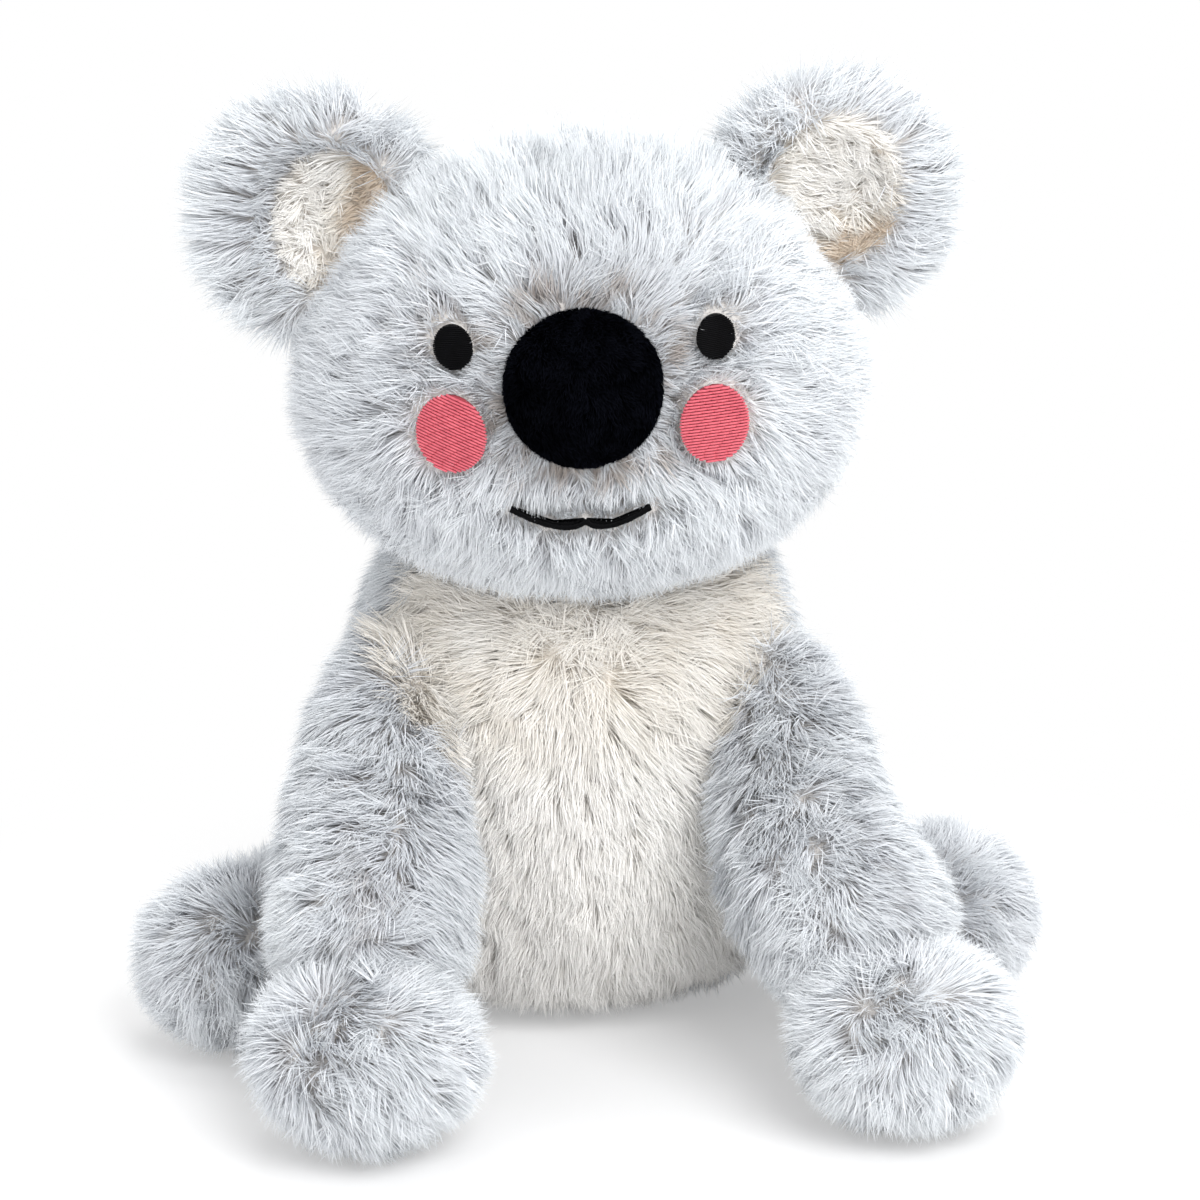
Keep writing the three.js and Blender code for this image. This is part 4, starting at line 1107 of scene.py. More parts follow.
for way, side in sides.items():
    directions, faces = ballWays(5)
    half = np.array(ear["half"]) - ear["inset"]
    form = directions * half
    off = np.hypot((form[:, 0] + way * ear["bowlIn"]) / (ear["bowlHalf"][0] + 2),
                   form[:, 2] / (ear["bowlHalf"][2] + 2))
    bowl = -ear["bowlForward"] + (ear["bowlHalf"][1] + 1.5) * np.sqrt(np.maximum(1 - off ** 2, 0))
    isFront = directions[:, 1] < 0
    form[:, 1] = np.where(isFront & (off < 1), np.maximum(form[:, 1], bowl), form[:, 1])
    onPanel = (form[:, [0, 2]] - ear["panelMiddle"][way]) / ear["panelHalf"]
    isPanel = isFront & (np.linalg.norm(onPanel, axis=1) < 1)
    placed, turned = earPlaced(form, way)
    earBase = toyMesh("ear_base_" + side, placed, faces, looks["greyBacking"])
    points, normals = meshPoints(earBase)
    fromHead = np.array([way * 0.9, 0, 0.35])
    towardsHead = smooth(0, -15, way * form[:, 0]) * smooth(0, 18, form[:, 2])
    comb = unit(form * [1, 0, 1]) * 0.9 + fromHead * (0.7 - 0.55 * towardsHead)[:, None]
    comb += noiseWay(form, *ear["swirl"]) + noiseWay(form, *ear["curl"])
    edge = smooth(1.25, 0.98, off) * isFront
    fromMiddle = np.hypot(form[:, 0] / half[0], form[:, 2] / half[2])
    tone = ear["tone"] + noise(form, *ear["toneNoise"]) + 0.1 * smooth(0.55, 0.95, fromMiddle)
    lay = ear["lay"] + noise(form, *ear["layNoise"]) + 0.1 * smooth(0.75, 1.0, fromMiddle)
    # painted shade: the grey pile in the bowl and round its rim is a little darker
    storePile(earBase, skinOut=normals, combWay=comb @ turned, pileLength=ear["length"] * (1 - 0.3 * edge),
              pileTone=tone - 0.06 * edge, pileLay=lay,
              pileDensity=(insideHead(points, -1) > 1) & ~isPanel)
    earFur = growFur(earBase, "ear_fur_" + side, looks["greyFur"], ear["seed"] + way)

    panelFaces = [f for f in faces if all(isPanel[i] for i in f)]
    used = sorted({i for f in panelFaces for i in f})
    index = {old: new for new, old in enumerate(used)}
    shell = closedShell([tuple(index[i] for i in f) for f in panelFaces], len(used))
    flatForm = np.vstack([form[used] - [0, ear["panelProud"], 0], form[used] + [0, ear["panelThick"], 0]])
    panelBase = toyMesh("ear_panel_base_" + side, earPlaced(flatForm, way)[0], shell, looks["creamBacking"])
    points, normals = meshPoints(panelBase)
    comb = np.array([way * 0.8, 0, -0.1]) + noiseWay(flatForm, *ear["panelSwirl"])
    # painted shade: the panel darkens towards its side in the bowl's fold, where its pile is also shorter and
    # lies flatter
    shadedShare = smooth(2, 14, flatForm[:, [0, 2]] @ np.array(ear["shade"][way]))
    tone = ear["panelTone"] - ear["panelPaintedShade"] * shadedShare + noise(flatForm, *ear["panelToneNoise"])
    isOuter = np.arange(len(points)) < len(used)
    storePile(panelBase, skinOut=normals, combWay=comb @ turned, pileTone=tone,
              pileLength=(ear["panelLength"] - ear["panelShorter"] * shadedShare) * mm,
              pileLay=ear["panelLay"] + noise(flatForm, *ear["panelLayNoise"]) + 0.3 * shadedShare,
              pileDensity=isOuter & (insideHead(points, -1) > 1))
    panelFur = growFur(panelBase, "ear_panel_fur_" + side, looks["creamFur"], ear["seed"] + 5 + way)
    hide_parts("ear_" + side)
    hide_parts(f"ear_{side}_panel")
    joinBody("toy", "grey_fur", earBase, earFur)
    joinBody("toy", "cream_fur", panelBase, panelFur)
print("ears made")

# Back: outlines and layers of the closure, repeated from the CAD model
closure = {
    "bottom": 16, "top": 149, "corner": 20, "lowHalf": 54, "wideHalf": 60, "highHalf": 34,
    "middleUp": 66, "flare": 2, "shoulder": 6, "mouth": (8.2, 3.2), "bag": (7.0, 2.0),
    "bagFront": 19.5, "cloth": 1.2, "rimInset": 11.8, "recess": 13.3, "easing": 8,
}


def quadLine(first, bend, last, count):
    share = np.linspace(0, 1, count, endpoint=False)[:, None]
    first, bend, last = (np.array(p, float) for p in (first, bend, last))
    return (1 - share) ** 2 * first + 2 * share * (1 - share) * bend + share ** 2 * last


def windowLine(rim, rimBottom=None):
    # the opening's outline, this far in from its edge and from its bottom
    corner = closure["corner"] - rim / 2
    bottom, top = closure["bottom"] + (rim if rimBottom is None else rimBottom), closure["top"] - rim
    low, wide, high = (closure[key] - rim for key in ("lowHalf", "wideHalf", "highHalf"))
    middle = closure["middleUp"]
    shoulder = (high + closure["shoulder"], top - 0.7 * corner)
    flared = (low + closure["flare"], bottom + corner)
    half = np.vstack([
        quadLine((0, bottom), ((low - corner) / 2, bottom), (low - corner, bottom), 10),
        quadLine((low - corner, bottom), (low, bottom), flared, 12),
        quadLine(flared, (wide, bottom + 1.4 * corner), (wide, middle), 14),
        quadLine((wide, middle), (wide, top - 1.6 * corner), shoulder, 18),
        quadLine(shoulder, (high, top), (high - corner, top), 10),
        quadLine((high - corner, top), ((high - corner) / 2, top), (0, top), 6),
        [(0, top)],
    ])
    line = np.vstack([half, half[-2:0:-1] * np.array([-1, 1])])
    for _ in range(closure["easing"]):
        line = (np.roll(line, 1, axis=0) + 2 * line + np.roll(line, -1, axis=0)) / 4
    return line


def edgeGaps(places, starts, steps):
    # distance of each place from each straight piece of a line
    off = places[:, None] - starts[None]
    share = np.clip((off * steps).sum(axis=2) / np.maximum((steps ** 2).sum(axis=1), 1e-9), 0, 1)
    return np.linalg.norm(off - share[..., None] * steps, axis=2)


def openingGap(places, rim):
    # millimetres outside the opening's outline, negative inside it
    start = windowLine(rim)
    step = np.roll(start, -1, axis=0) - start
    gap = edgeGaps(places, start, step).min(axis=1)
    up = places[:, None, 1]
    crossed = (start[None, :, 1] > up) != (start[None, :, 1] + step[None, :, 1] > up)
    rise = np.where(np.abs(step[:, 1]) < 1e-9, 1e-9, step[:, 1])
    cross = start[None, :, 0] + (up - start[None, :, 1]) / rise[None] * step[None, :, 0]
    inside = (crossed & (places[:, None, 0] < cross)).sum(axis=1) % 2 == 1
    return np.where(inside, -gap, gap)


def backReach(x, z, inset):
    fill = bodyFill(bodyShare(z, inset), 1e-6)
    square = bodyForm["backSquareness"]
    across = np.clip(np.abs(x) / ((bodyForm["halfWidth"] - inset) * fill), 0, 0.999)
    reach = (1 - across ** square) ** (1 / square)
    return bodyForm["setBack"] + (bodyForm["halfDepth"] - inset) * fill * reach


def layerPoints(places, inset):
    # on the back, this far in from the fur's face
    x, z = places[:, 0], places[:, 1]
    y = np.maximum(backReach(x, z, inset), backReach(x, z, 0) - 1.75 * inset)
    return np.column_stack([x, y, z])


def levelPoints(line, y):
    return np.column_stack([line[:, 0], np.broadcast_to(y, len(line)), line[:, 1]])


def closedMesh(name, points, faces, material=None):
    piece = toyMesh(name, points, faces, material)
    build = bmesh.new()
    build.from_mesh(piece.data)
    bmesh.ops.recalc_face_normals(build, faces=build.faces)
    build.to_mesh(piece.data)
    build.free()
    shadeSmooth(piece.data)
    return piece


def loopFaces(loops, count, closed=False):
    # quads between loops of points that follow each other
    pairs = [(i, i + 1) for i in range(loops - 1)] + ([(loops - 1, 0)] if closed else [])
    return [(a * count + i, a * count + (i + 1) % count, b * count + (i + 1) % count, b * count + i)
            for a, b in pairs for i in range(count)]


def fanFaces(pole, start, count):
    return [(pole, start + i, start + (i + 1) % count) for i in range(count)]


def cutPocket(piece):
    # takes the pocket's space out of a stuffed form
    line = windowLine(*(rim - 1.5 for rim in closure["mouth"]))
    count = len(line)
    front = levelPoints(line, closure["bagFront"] - 0.3)
    faces = loopFaces(2, count) + [tuple(range(count)), tuple(range(count, 2 * count))]
    prism = closedMesh("pocketSpace", np.vstack([front, front + np.array([0, 90, 0])]), faces)
    cut = piece.modifiers.new("cut", "BOOLEAN")
    cut.operation = "DIFFERENCE"
    cut.solver = "EXACT"
    cut.object = prism
    bpy.context.view_layer.update()
    graph = bpy.context.evaluated_depsgraph_get()
    mesh = bpy.data.meshes.new_from_object(piece.evaluated_get(graph), depsgraph=graph)
    piece.modifiers.remove(cut)
    piece.data = mesh
    bpy.data.objects.remove(prism)


# Body and limbs: how the pile lies; the bib is the cream front's edge on the arms
trunkPile = {
    "length": 14.0 * mm, "inset": 8.0, "seam": 4.0, "seed": 61, "chestSource": (-5, -30, 124),
    "swirl": (20, 70), "chestSwirl": 0.4, "backSwirl": 0.5, "curl": (8, 57), "backCurl": 0.35,
    "chestTone": 0.58, "chestToneNoise": (13, 75, 0.14), "lowPaintedLight": 0.42, "chestLay": 0.66,
    "backTone": 0.62, "backToneNoise": (15, 73, 0.14), "backLay": 0.55, "layNoise": (17, 74, 0.22),
    "clearOfHead": 4, "clearOfLimbs": 11, "lowest": 6,
}
limbPile = {
    "length": 14.0 * mm, "inset": 8.0, "tone": 0.5, "voxel": 2.6 * mm, "sides": 28, "seed": 51,
    "bibSeed": 71, "bibFrom": 62, "bibTone": 0.62, "upperBehind": -52, "swirl": (19, 20, 1, 5),
    "curl": (7, 54), "toneNoise": (15, 35, 0.15), "patches": (6, 160), "layNoise": (17, 40, 0.25),
    "patchDeeper": 0.4, "partingPaintedShade": 0.16, "bibEdgePaintedShade": 0.10, "lay": 0.6, "softenings": 6,
    "clear": 2, "lowest": 6,
}


def chestComb(points):
    fromSource = points - np.array(trunkPile["chestSource"])
    near = smooth(26, 6, np.linalg.norm(fromSource, axis=1))
    curl = noiseWay(points, *trunkPile["curl"]) * (0.6 + 0.9 * near)[:, None]
    return unit(fromSource) + np.array([0, 0, -0.45]) + curl


def backComb(points):
    down = np.column_stack([points[:, 0] * 0.006, 0 * points[:, 0], np.full(len(points), -1.0)])
    down += noiseWay(points, *trunkPile["swirl"], trunkPile["backSwirl"])
    return down + noiseWay(points, *trunkPile["curl"], trunkPile["backCurl"])


def numbered(key, number):
    # a noise of the limbs, with its seed counted on for each of them
    size, seed, *others = limbPile[key]
    return size, seed + number, *others


# Limbs: tapering stuffed tubes with round paws and feet, one form each
def limbForm(name, inset):
    limb = limbs[name]
    build = bmesh.new()
    middle, count = limb["middle"], limbPile["sides"]
    tangents = unit(np.gradient(middle, axis=0))
    turns = turnsRound(count)
    rings = []
    for centre, tangent, size in list(zip(middle, tangents, limbRadii(limb, inset, 0)))[1:-1]:
        across = unit(np.array([1.0, 0, 0]) - tangent * tangent[0])
        third = np.cross(tangent, across)
        ring = centre + size * (np.outer(np.cos(turns), across) + np.outer(np.sin(turns), third))
        rings.append([build.verts.new(p * mm + toyOrigin) for p in ring])
    for lower, upper in zip(rings[:-1], rings[1:]):
        for i in range(count):
            j = (i + 1) % count
            build.faces.new((lower[i], lower[j], upper[j], upper[i]))
    build.faces.new(rings[0][::-1])
    build.faces.new(rings[-1])
    ball = bmesh.ops.create_icosphere(build, subdivisions=4, radius=1)
    half = np.array(limb["end"]) - inset
    for vert in ball["verts"]:
        vert.co = Vector((np.array(vert.co[:]) * half + limb["endPlace"]) * mm + toyOrigin)
    bmesh.ops.recalc_face_normals(build, faces=build.faces)
    mesh = bpy.data.meshes.new(name + "Form")
    build.to_mesh(mesh)
    build.free()
    form = linked(name + "Form", mesh)
    remesh = form.modifiers.new("remesh", "REMESH")
    remesh.mode = "VOXEL"
    remesh.voxel_size = limbPile["voxel"]
    soften = form.modifiers.new("soften", "SMOOTH")
    soften.iterations = limbPile["softenings"]
    soften.factor = 0.5
    bpy.context.view_layer.update()
    evaluated = form.evaluated_get(bpy.context.evaluated_depsgraph_get())
    base = linked(name + "_base", bpy.data.meshes.new_from_object(evaluated))
    bpy.data.objects.remove(form)
    base.data.materials.clear()
    base.data.materials.append(looks["greyBacking"])
    shadeSmooth(base.data)
    return base


for number, (name, limb) in enumerate(limbs.items()):
    way, isArm = limb["way"], "bib" in limb
    base = limbForm(name, limbPile["inset"])
    if not isArm:
        cutPocket(base)
    points, normals = meshPoints(base)
    nearest = np.linalg.norm(points[:, None] - limb["middle"][None], axis=2).argmin(axis=1)
    tangent = unit(np.gradient(limb["middle"], axis=0))[nearest]
    sideways = points - limb["middle"][nearest]
    sideways -= tangent * np.einsum("ij,ij->i", sideways, tangent)[:, None]
    outwards = way * sideways[:, 0]
    pawShare = smooth(1.5, 0.95, roundShare(points - limb["endPlace"], np.array(limb["end"])))
    # the pile runs down the limb, and outwards from one place on its paw or foot
    down = tangent * 0.35 + np.array([way * 0.6, 0, -0.75])
    inner = smooth(2, -12, outwards) * smooth(-20, -45, points[:, 1])
    down[:, 0] -= way * (0.75 if way < 0 else 0.4) * inner
    fromSource = points - np.array(limb["source"])
    radiate = unit(fromSource) + np.array([-way * 0.2, 0, -0.45])
    comb = unit(down * (1 - pawShare)[:, None] + radiate * pawShare[:, None])
    comb += noiseWay(points, *numbered("swirl", number)) * (0.45 + 0.3 * pawShare)[:, None]
    reach = np.linalg.norm(fromSource, axis=1)
    fuzz = smooth(46, 10, reach) * pawShare
    curled = 0.65 + 0.3 * pawShare + 1.3 * fuzz + 0.5 * smooth(-20, 10, points[:, 1])
    comb += noiseWay(points, *limbPile["curl"]) * curled[:, None]
    patch = smooth(30, 8, reach) * pawShare * smooth(-0.1, 0.3, noise(points, *numbered("patches", number)))
    tone = limbPile["tone"] + 0.05 * pawShare + noise(points, *numbered("toneNoise", number))
    tone -= limbPile["patchDeeper"] * patch
    # painted light and shade: a limb's pile is paler on its outer side than on the side facing the body
    tone += 0.12 * smooth(4, 20, outwards) * (1 - pawShare)
    apart = limbPile["clear"]
    clear = (insideBody(points, apart) > 1) & (insideHead(points, apart) > 1)
    clear &= points[:, 2] > limbPile["lowest"]
    onBib = np.zeros(len(points), dtype=bool)
    if isArm:
        front = normals[:, 1] < 0.2
        parting = np.array(limb["parting"], float)
        fromParting = edgeGaps(points[:, [0, 2]], parting[:-1], np.diff(parting, axis=0)).min(axis=1)
        edge = np.abs(points[:, 0]) - np.interp(points[:, 2], *zip(*limb["bib"]))
        bibHigh = front & (points[:, 2] > limbPile["bibFrom"])
        onBib = bibHigh & (edge < 0)
        # painted light: each arm's pile is paler by its own amount; painted shade darkens it along a parting
        # line
        tone += limb["paintedLight"] - limbPile["partingPaintedShade"] * smooth(5, 1, fromParting) * front
        # painted shade: the grey pile darkens next to the cream front's edge
        tone -= limbPile["bibEdgePaintedShade"] * smooth(4, 0.5, edge) * bibHigh
    else:
        clear &= insideLimb(points, name.replace("leg", "arm"), apart) > 1
    lay = limbPile["lay"] + noise(points, *numbered("layNoise", number)) - 0.45 * fuzz
    storePile(base, skinOut=normals, combWay=comb, pileLength=limbPile["length"], pileTone=tone,
              pileLay=lay, pileDensity=clear & ~onBib)
    if isArm:
        upper = points[:, 1] > limbPile["upperBehind"]
        furs = growSectors(base, [name + "_fur_upper", name + "_fur_paw"], [upper, ~upper],
                           looks["greyFur"], limbPile["seed"] + number)
        # painted shade: the cream pile darkens a little at its edge on the arm
        tone = limbPile["bibTone"] + noise(points, *trunkPile["chestToneNoise"]) - 0.06 * smooth(-4, 0, edge)
        storePile(base, combWay=chestComb(points), pileTone=tone, pileDensity=clear & onBib)
        bibFur = growFur(base, "bib_fur_" + name[4:], looks["creamFur"], limbPile["bibSeed"] + number)
        joinBody("toy", "cream_fur", bibFur)
    else:
        furs = [growFur(base, name + "_fur", looks["greyFur"], limbPile["seed"] + number)]
    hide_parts(name + "_skin", name + "_filling")
    joinBody("toy", "grey_fur", base, *furs)
print("limbs made")


def bareOfOthers(points):
    # where neither the head nor a limb covers the body
    clear = (insideHead(points, trunkPile["clearOfHead"]) > 1) & (points[:, 2] > trunkPile["lowest"])
    for limb in limbs:
        clear &= insideLimb(points, limb, trunkPile["clearOfLimbs"]) > 1
    return clear


# Body: a cream front and a grey back, each a stuffed half form with its own pile
directions, faces = ballWays(6)
seam = trunkPile["seam"]
form = bodySurface(directions, trunkPile["inset"])
chestForm = np.column_stack([form[:, 0], np.minimum(form[:, 1], seam), form[:, 2]])
chestBase = toyMesh("chest_base", chestForm, faces, looks["creamBacking"])
points, normals = meshPoints(chestBase)
comb = chestComb(points) + noiseWay(points, *trunkPile["swirl"], trunkPile["chestSwirl"])
tone = trunkPile["chestTone"] + noise(points, *trunkPile["chestToneNoise"])
# painted light: the cream pile is paler low on the chest, where the head and arms shade it
storePile(chestBase, skinOut=normals, combWay=comb, pileLength=trunkPile["length"],
          pileTone=tone + trunkPile["lowPaintedLight"] * smooth(120, 60, points[:, 2]),
          pileLay=trunkPile["chestLay"] + noise(points, *trunkPile["layNoise"]),
          pileDensity=(points[:, 1] < seam - 0.1) & bareOfOthers(points))
chestFur = growFur(chestBase, "chest_fur", looks["creamFur"], trunkPile["seed"])
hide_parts("chest_panel")
joinBody("toy", "cream_fur", chestBase, chestFur)

sunk = (form[:, 1] > bodyForm["setBack"]) & (openingGap(form[:, [0, 2]], -1) < 0)
form[sunk] = layerPoints(form[sunk][:, [0, 2]], closure["recess"])
form[:, 1] = np.maximum(form[:, 1], seam + 0.3)
backBase = toyMesh("back_base", form, faces, looks["greyBacking"])
cutPocket(backBase)
points, normals = meshPoints(backBase)
opening = np.where(points[:, 1] > bodyForm["setBack"], openingGap(points[:, [0, 2]], 0), 99)
storePile(backBase, skinOut=normals, combWay=backComb(points),
          pileLength=trunkPile["length"] * (0.6 + 0.4 * smooth(0, 12, opening)),
          pileTone=trunkPile["backTone"] + noise(points, *trunkPile["backToneNoise"]),
          pileLay=trunkPile["backLay"] + noise(points, *trunkPile["layNoise"]),
          pileDensity=(points[:, 1] > seam + 0.4) & (opening > 0.8) & bareOfOthers(points))
onLeft = points[:, 0] < 0
backFurs = growSectors(backBase, ["back_fur_left", "back_fur_right"], [onLeft, ~onLeft],
                       looks["greyFur"], trunkPile["seed"] + 1)
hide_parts("body_skin", "body_filling")
joinBody("toy", "grey_fur", backBase, *backFurs)
print("body made")

# Closure: the sewing of its linings
seamStitch = {"length": 2.8, "gap": 1.1, "radius": 0.27}


def patchLoops(line, rings, middle):
    # loops from a closed line in to its middle
    return [middle + (line - middle) * share for share in np.linspace(1, 0, rings, endpoint=False)]


def clothPatch(name, line, outer, inner, material, rings):
    # a closed sheet on the back between two insets, inside a line
    middle = np.array([0.0, 80.0])
    count = len(line)
    loops = patchLoops(line, rings, middle)
    points = [layerPoints(loop, outer) for loop in loops[::-1]]
    points += [layerPoints(loop, inner) for loop in loops]
    points += [layerPoints(middle[None], inset) for inset in (outer, inner)]
    top = 2 * rings * count
    fans = zip(fanFaces(top, 0, count), fanFaces(top + 1, top - count, count))
    faces = loopFaces(2 * rings, count) + [face for pair in fans for face in pair]
    return closedMesh(name, np.vstack(points), faces, material), rings * count


def runningStitches(line, inset):
    # lines of a running stitch along a closed line on the back
    closed = np.vstack([line, line[:1]])
    length = seamStitch["length"]
    places = length * np.array([0, 0.15, 0.5, 0.85, 1])
    lifts = inset + np.array([0.35, -0.05, -0.12, -0.05, 0.35])
    starts = np.arange(0, lineLengths(closed)[-1] - length, length + seamStitch["gap"])
    return [layerPoints(alongLine(closed, start + places), lifts) for start in starts]


def sewSeam(name, line, inset):
    return sewLines(name, runningStitches(line, inset), seamStitch["radius"], looks["liningThread"])


# The fur's folded edge round the opening
hemProfile = ((-1.4, 7.8), (-0.7, 7.2), (-0.1, 7.5), (0.2, 8.6), (0.2, 12.4), (-1.4, 12.6))
hemLoops = [layerPoints(windowLine(rim), inset) for rim, inset in hemProfile]
openingHem = closedMesh("opening_hem", np.vstack(hemLoops),
                        loopFaces(len(hemLoops), len(hemLoops[0]), True), looks["greyBacking"])
joinBody("toy", "grey_fur", openingHem)

# Flap: fur fabric with a lining, hinged at its lower edge
flapPile = {
    "length": 11.5 * mm, "shorterLow": 0.62, "tone": 0.62, "toneNoise": (15, 73, 0.14), "lay": 0.6,
    "layNoise": (17, 74, 0.2), "seed": 81,
}
flapBase, outerCount = clothPatch("flap_base", windowLine(0.3), 4.5, 7.0, looks["greyBacking"], 30)
points, normals = meshPoints(flapBase)
index = np.arange(len(points))
storePile(flapBase, skinOut=normals, combWay=backComb(points),
          pileLength=flapPile["length"] * (1 - flapPile["shorterLow"] * smooth(30, 18, points[:, 2])),
          pileTone=flapPile["tone"] + noise(points, *flapPile["toneNoise"]),
          pileLay=flapPile["lay"] + noise(points, *flapPile["layNoise"]),
          pileDensity=(index < outerCount) | (index == 2 * outerCount))
flapFur = growFur(flapBase, "flap_fur", looks["greyFur"], flapPile["seed"])
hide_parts("back_flap")
flapLining, _ = clothPatch("flap_lining_cloth", windowLine(1.4), 7.3, 8.5, looks["liningCloth"], 20)
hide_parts("flap_lining")
flapSeam = sewSeam("flap_lining_stitches", windowLine(3.6), 8.5)
joinBody("flap", "grey_fur", flapBase, flapFur)
joinBody("flap", "lining", flapLining, flapSeam)
print("flap made")

# Pocket lining: a rim round the mouth and a bag that reaches forwards from it
mouthLine, bagLine, edgeLine = windowLine(*closure["mouth"]), windowLine(*closure["bag"]), windowLine(0.3)
count = len(mouthLine)
rimIn, rimOut = closure["rimInset"], closure["rimInset"] + closure["cloth"]
bagFront, bagFloor = closure["bagFront"], closure["bagFront"] + closure["cloth"]
middle = np.array([0.0, 72.0])
loops = [layerPoints(edgeLine + (mouthLine - edgeLine) * share, rimIn) for share in (0, 0.35, 0.7, 0.93)]
mouth = layerPoints(mouthLine, rimIn + 0.3)
loops.append(mouth)
wrinkle = noise(np.column_stack([mouthLine, mouthLine[:, 0] * 0]), 9, 91)
for share in (0.12, 0.3, 0.5, 0.7, 0.88, 0.97):
    rounded = smooth(0.8, 1.0, share)
    line = windowLine(closure["mouth"][0] + 1.5 * rounded, closure["mouth"][1] + 1.2 * rounded)
    pulled = (0.45 * (wrinkle + 0.3) * math.sin(math.pi * share)).clip(0)
    line = line + unit(np.array([0, 80.0]) - line) * pulled[:, None]
    loops.append(levelPoints(line, mouth[:, 1] + (bagFloor - mouth[:, 1]) * share))
floorLine = windowLine(closure["mouth"][0] + 3, closure["mouth"][1] + 2.4)
loops += [levelPoints(loop, bagFloor) for loop in patchLoops(floorLine, 12, middle)]
inside = len(loops) * count
loops += [levelPoints(loop, bagFront) for loop in patchLoops(bagLine, 6, middle)[::-1]]
behindMouth = layerPoints(bagLine, rimOut)[:, 1]
loops += [levelPoints(bagLine, bagFront + (behindMouth - bagFront) * share) for share in (0.5, 1.0)]
loops.append(layerPoints(edgeLine, rimOut))
# the inner and the outer side each close at a pole and don't join there
faces = [f for f in loopFaces(len(loops), count, True) if not (inside - count <= min(f) < inside <= max(f))]
poles = len(loops) * count
faces += fanFaces(poles, inside - count, count) + fanFaces(poles + 1, inside, count)
poleSpots = levelPoints(np.array([middle, middle]), np.array([bagFloor, bagFront]))
pocketCloth = closedMesh("pocket_lining_cloth", np.vstack(loops + [poleSpots]), faces, looks["liningCloth"])
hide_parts("pocket_lining")
pocketSeam = sewSeam("pocket_stitches", windowLine(7.0, 2.3), rimIn)
joinBody("toy", "lining", pocketCloth, pocketSeam)
print("pocket made")

# Touch fastener: a woven tape with stiff hooks on the flap and one with soft loops on the rim
strips = {
    "top": ((0, 145.5), (44, 4.5)),
    "left": ((-56.2, 66), (4.5, 50)),
    "right": ((56.2, 66), (4.5, 50)),
}
tapes = {
    "hook": {"from": 8.8, "to": 9.5, "length": 0.55 * mm, "lay": 0.0, "out": -1.0, "body": "flap",
             "pile": {"Strands per Square Metre": 2.2e6, "Half Width": 0.13 * mm,
                      "Tuft Pull": 0.0, "Strand Stray": 0.8}},
    "loop": {"from": 10.75, "to": 11.5, "length": 0.9 * mm, "lay": 0.8, "out": 1.0, "body": "toy",
             "pile": {"Strands per Square Metre": 7e6, "Half Width": 0.07 * mm,
                      "Tuft Pull": 0.0, "Strand Stray": 0.8}},
}
sideEdge = windowLine(0)
sideEdge = sideEdge[sideEdge[:, 0] > 50]


def stripShell(rows, columns):
    # faces of two equal grids of points and of the border between them
    size = rows * columns
    starts = [layer * size + row * columns + column
              for layer in (0, 1) for row in range(rows - 1) for column in range(columns - 1)]
    border = list(range(columns)) + [columns * (r + 1) - 1 for r in range(1, rows)]
    border += [size - 1 - c for c in range(1, columns)] + [columns * r for r in range(rows - 2, 0, -1)]
    return [(a, a + 1, a + columns + 1, a + columns) for a in starts] + [
        (a, b, b + size, a + size) for a, b in zip(border, border[1:] + border[:1])]


for place, (centre, size) in strips.items():
    across, up = (np.linspace(-0.5, 0.5, 5 if length < 10 else 41) * length for length in size)
    grid = np.array([(centre[0] + a, centre[1] + u) for u in up for a in across])
    if centre[0]:
        # the side strips follow the flap's edge
        edge = np.interp(grid[:, 1], sideEdge[:, 1], sideEdge[:, 0]) - 3.8
        grid[:, 0] += np.sign(centre[0]) * (edge - abs(centre[0]))
    for kind, tape in tapes.items():
        name = f"{kind}_strip_{place}"
        layers = np.vstack([layerPoints(grid, tape["from"]), layerPoints(grid, tape["to"])])
        strip = closedMesh(name + "_tape", layers, stripShell(len(up), len(across)), looks["fastenerTape"])
        points = meshPoints(strip)[0]
        isOuter = np.arange(len(points)) < len(grid)
        storePile(strip, skinOut=np.tile([0, tape["out"], 0], (len(points), 1)),
                  combWay=noiseWay(points, 1.5, 95), pileLength=tape["length"], pileTone=0.6,
                  pileLay=tape["lay"], pileDensity=isOuter == (tape["out"] > 0))
        pile = growFur(strip, name + "_pile", looks["tapePile"], 90, tape["pile"])
        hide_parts(name)
        joinBody(tape["body"], "fastener", strip, pile)
print("closure made")

# Bottle: a flat pillow of rubber with ribbed faces, a moulded edge seam and a neck
bottle = {
    "foot": 19.5, "halfWidth": 49, "halfThickness": 16.5, "height": 79, "wall": 2.5, "sides": 400,
    "lowerFullness": 3, "upperFullness": 5, "edgeFullness": 2.6, "neck": 14, "bore": 11, "neckHeight": 13,
    "shoulder": 4, "spread": 6, "thin": 2, "ribPitch": 4.4, "ribHeight": 0.55, "seamProud": 0.7,
    "seamHalf": 0.75, "bandDepth": 0.35, "bandLevels": (2.6, 8.4),
    "lip": ((13.8, -0.15), (13.4, 0), (11.3, 0), (11.0, -0.3)),
}
bottleTurns, bottleTop = turnsRound(bottle["sides"]), bottle["height"]
neckTop = bottleTop + bottle["shoulder"] + bottle["neckHeight"]


def ringPoints(width, depth, height, turns):
    level = np.full(len(turns), float(height))
    return np.column_stack([width * np.cos(turns), depth * np.sin(turns), level])


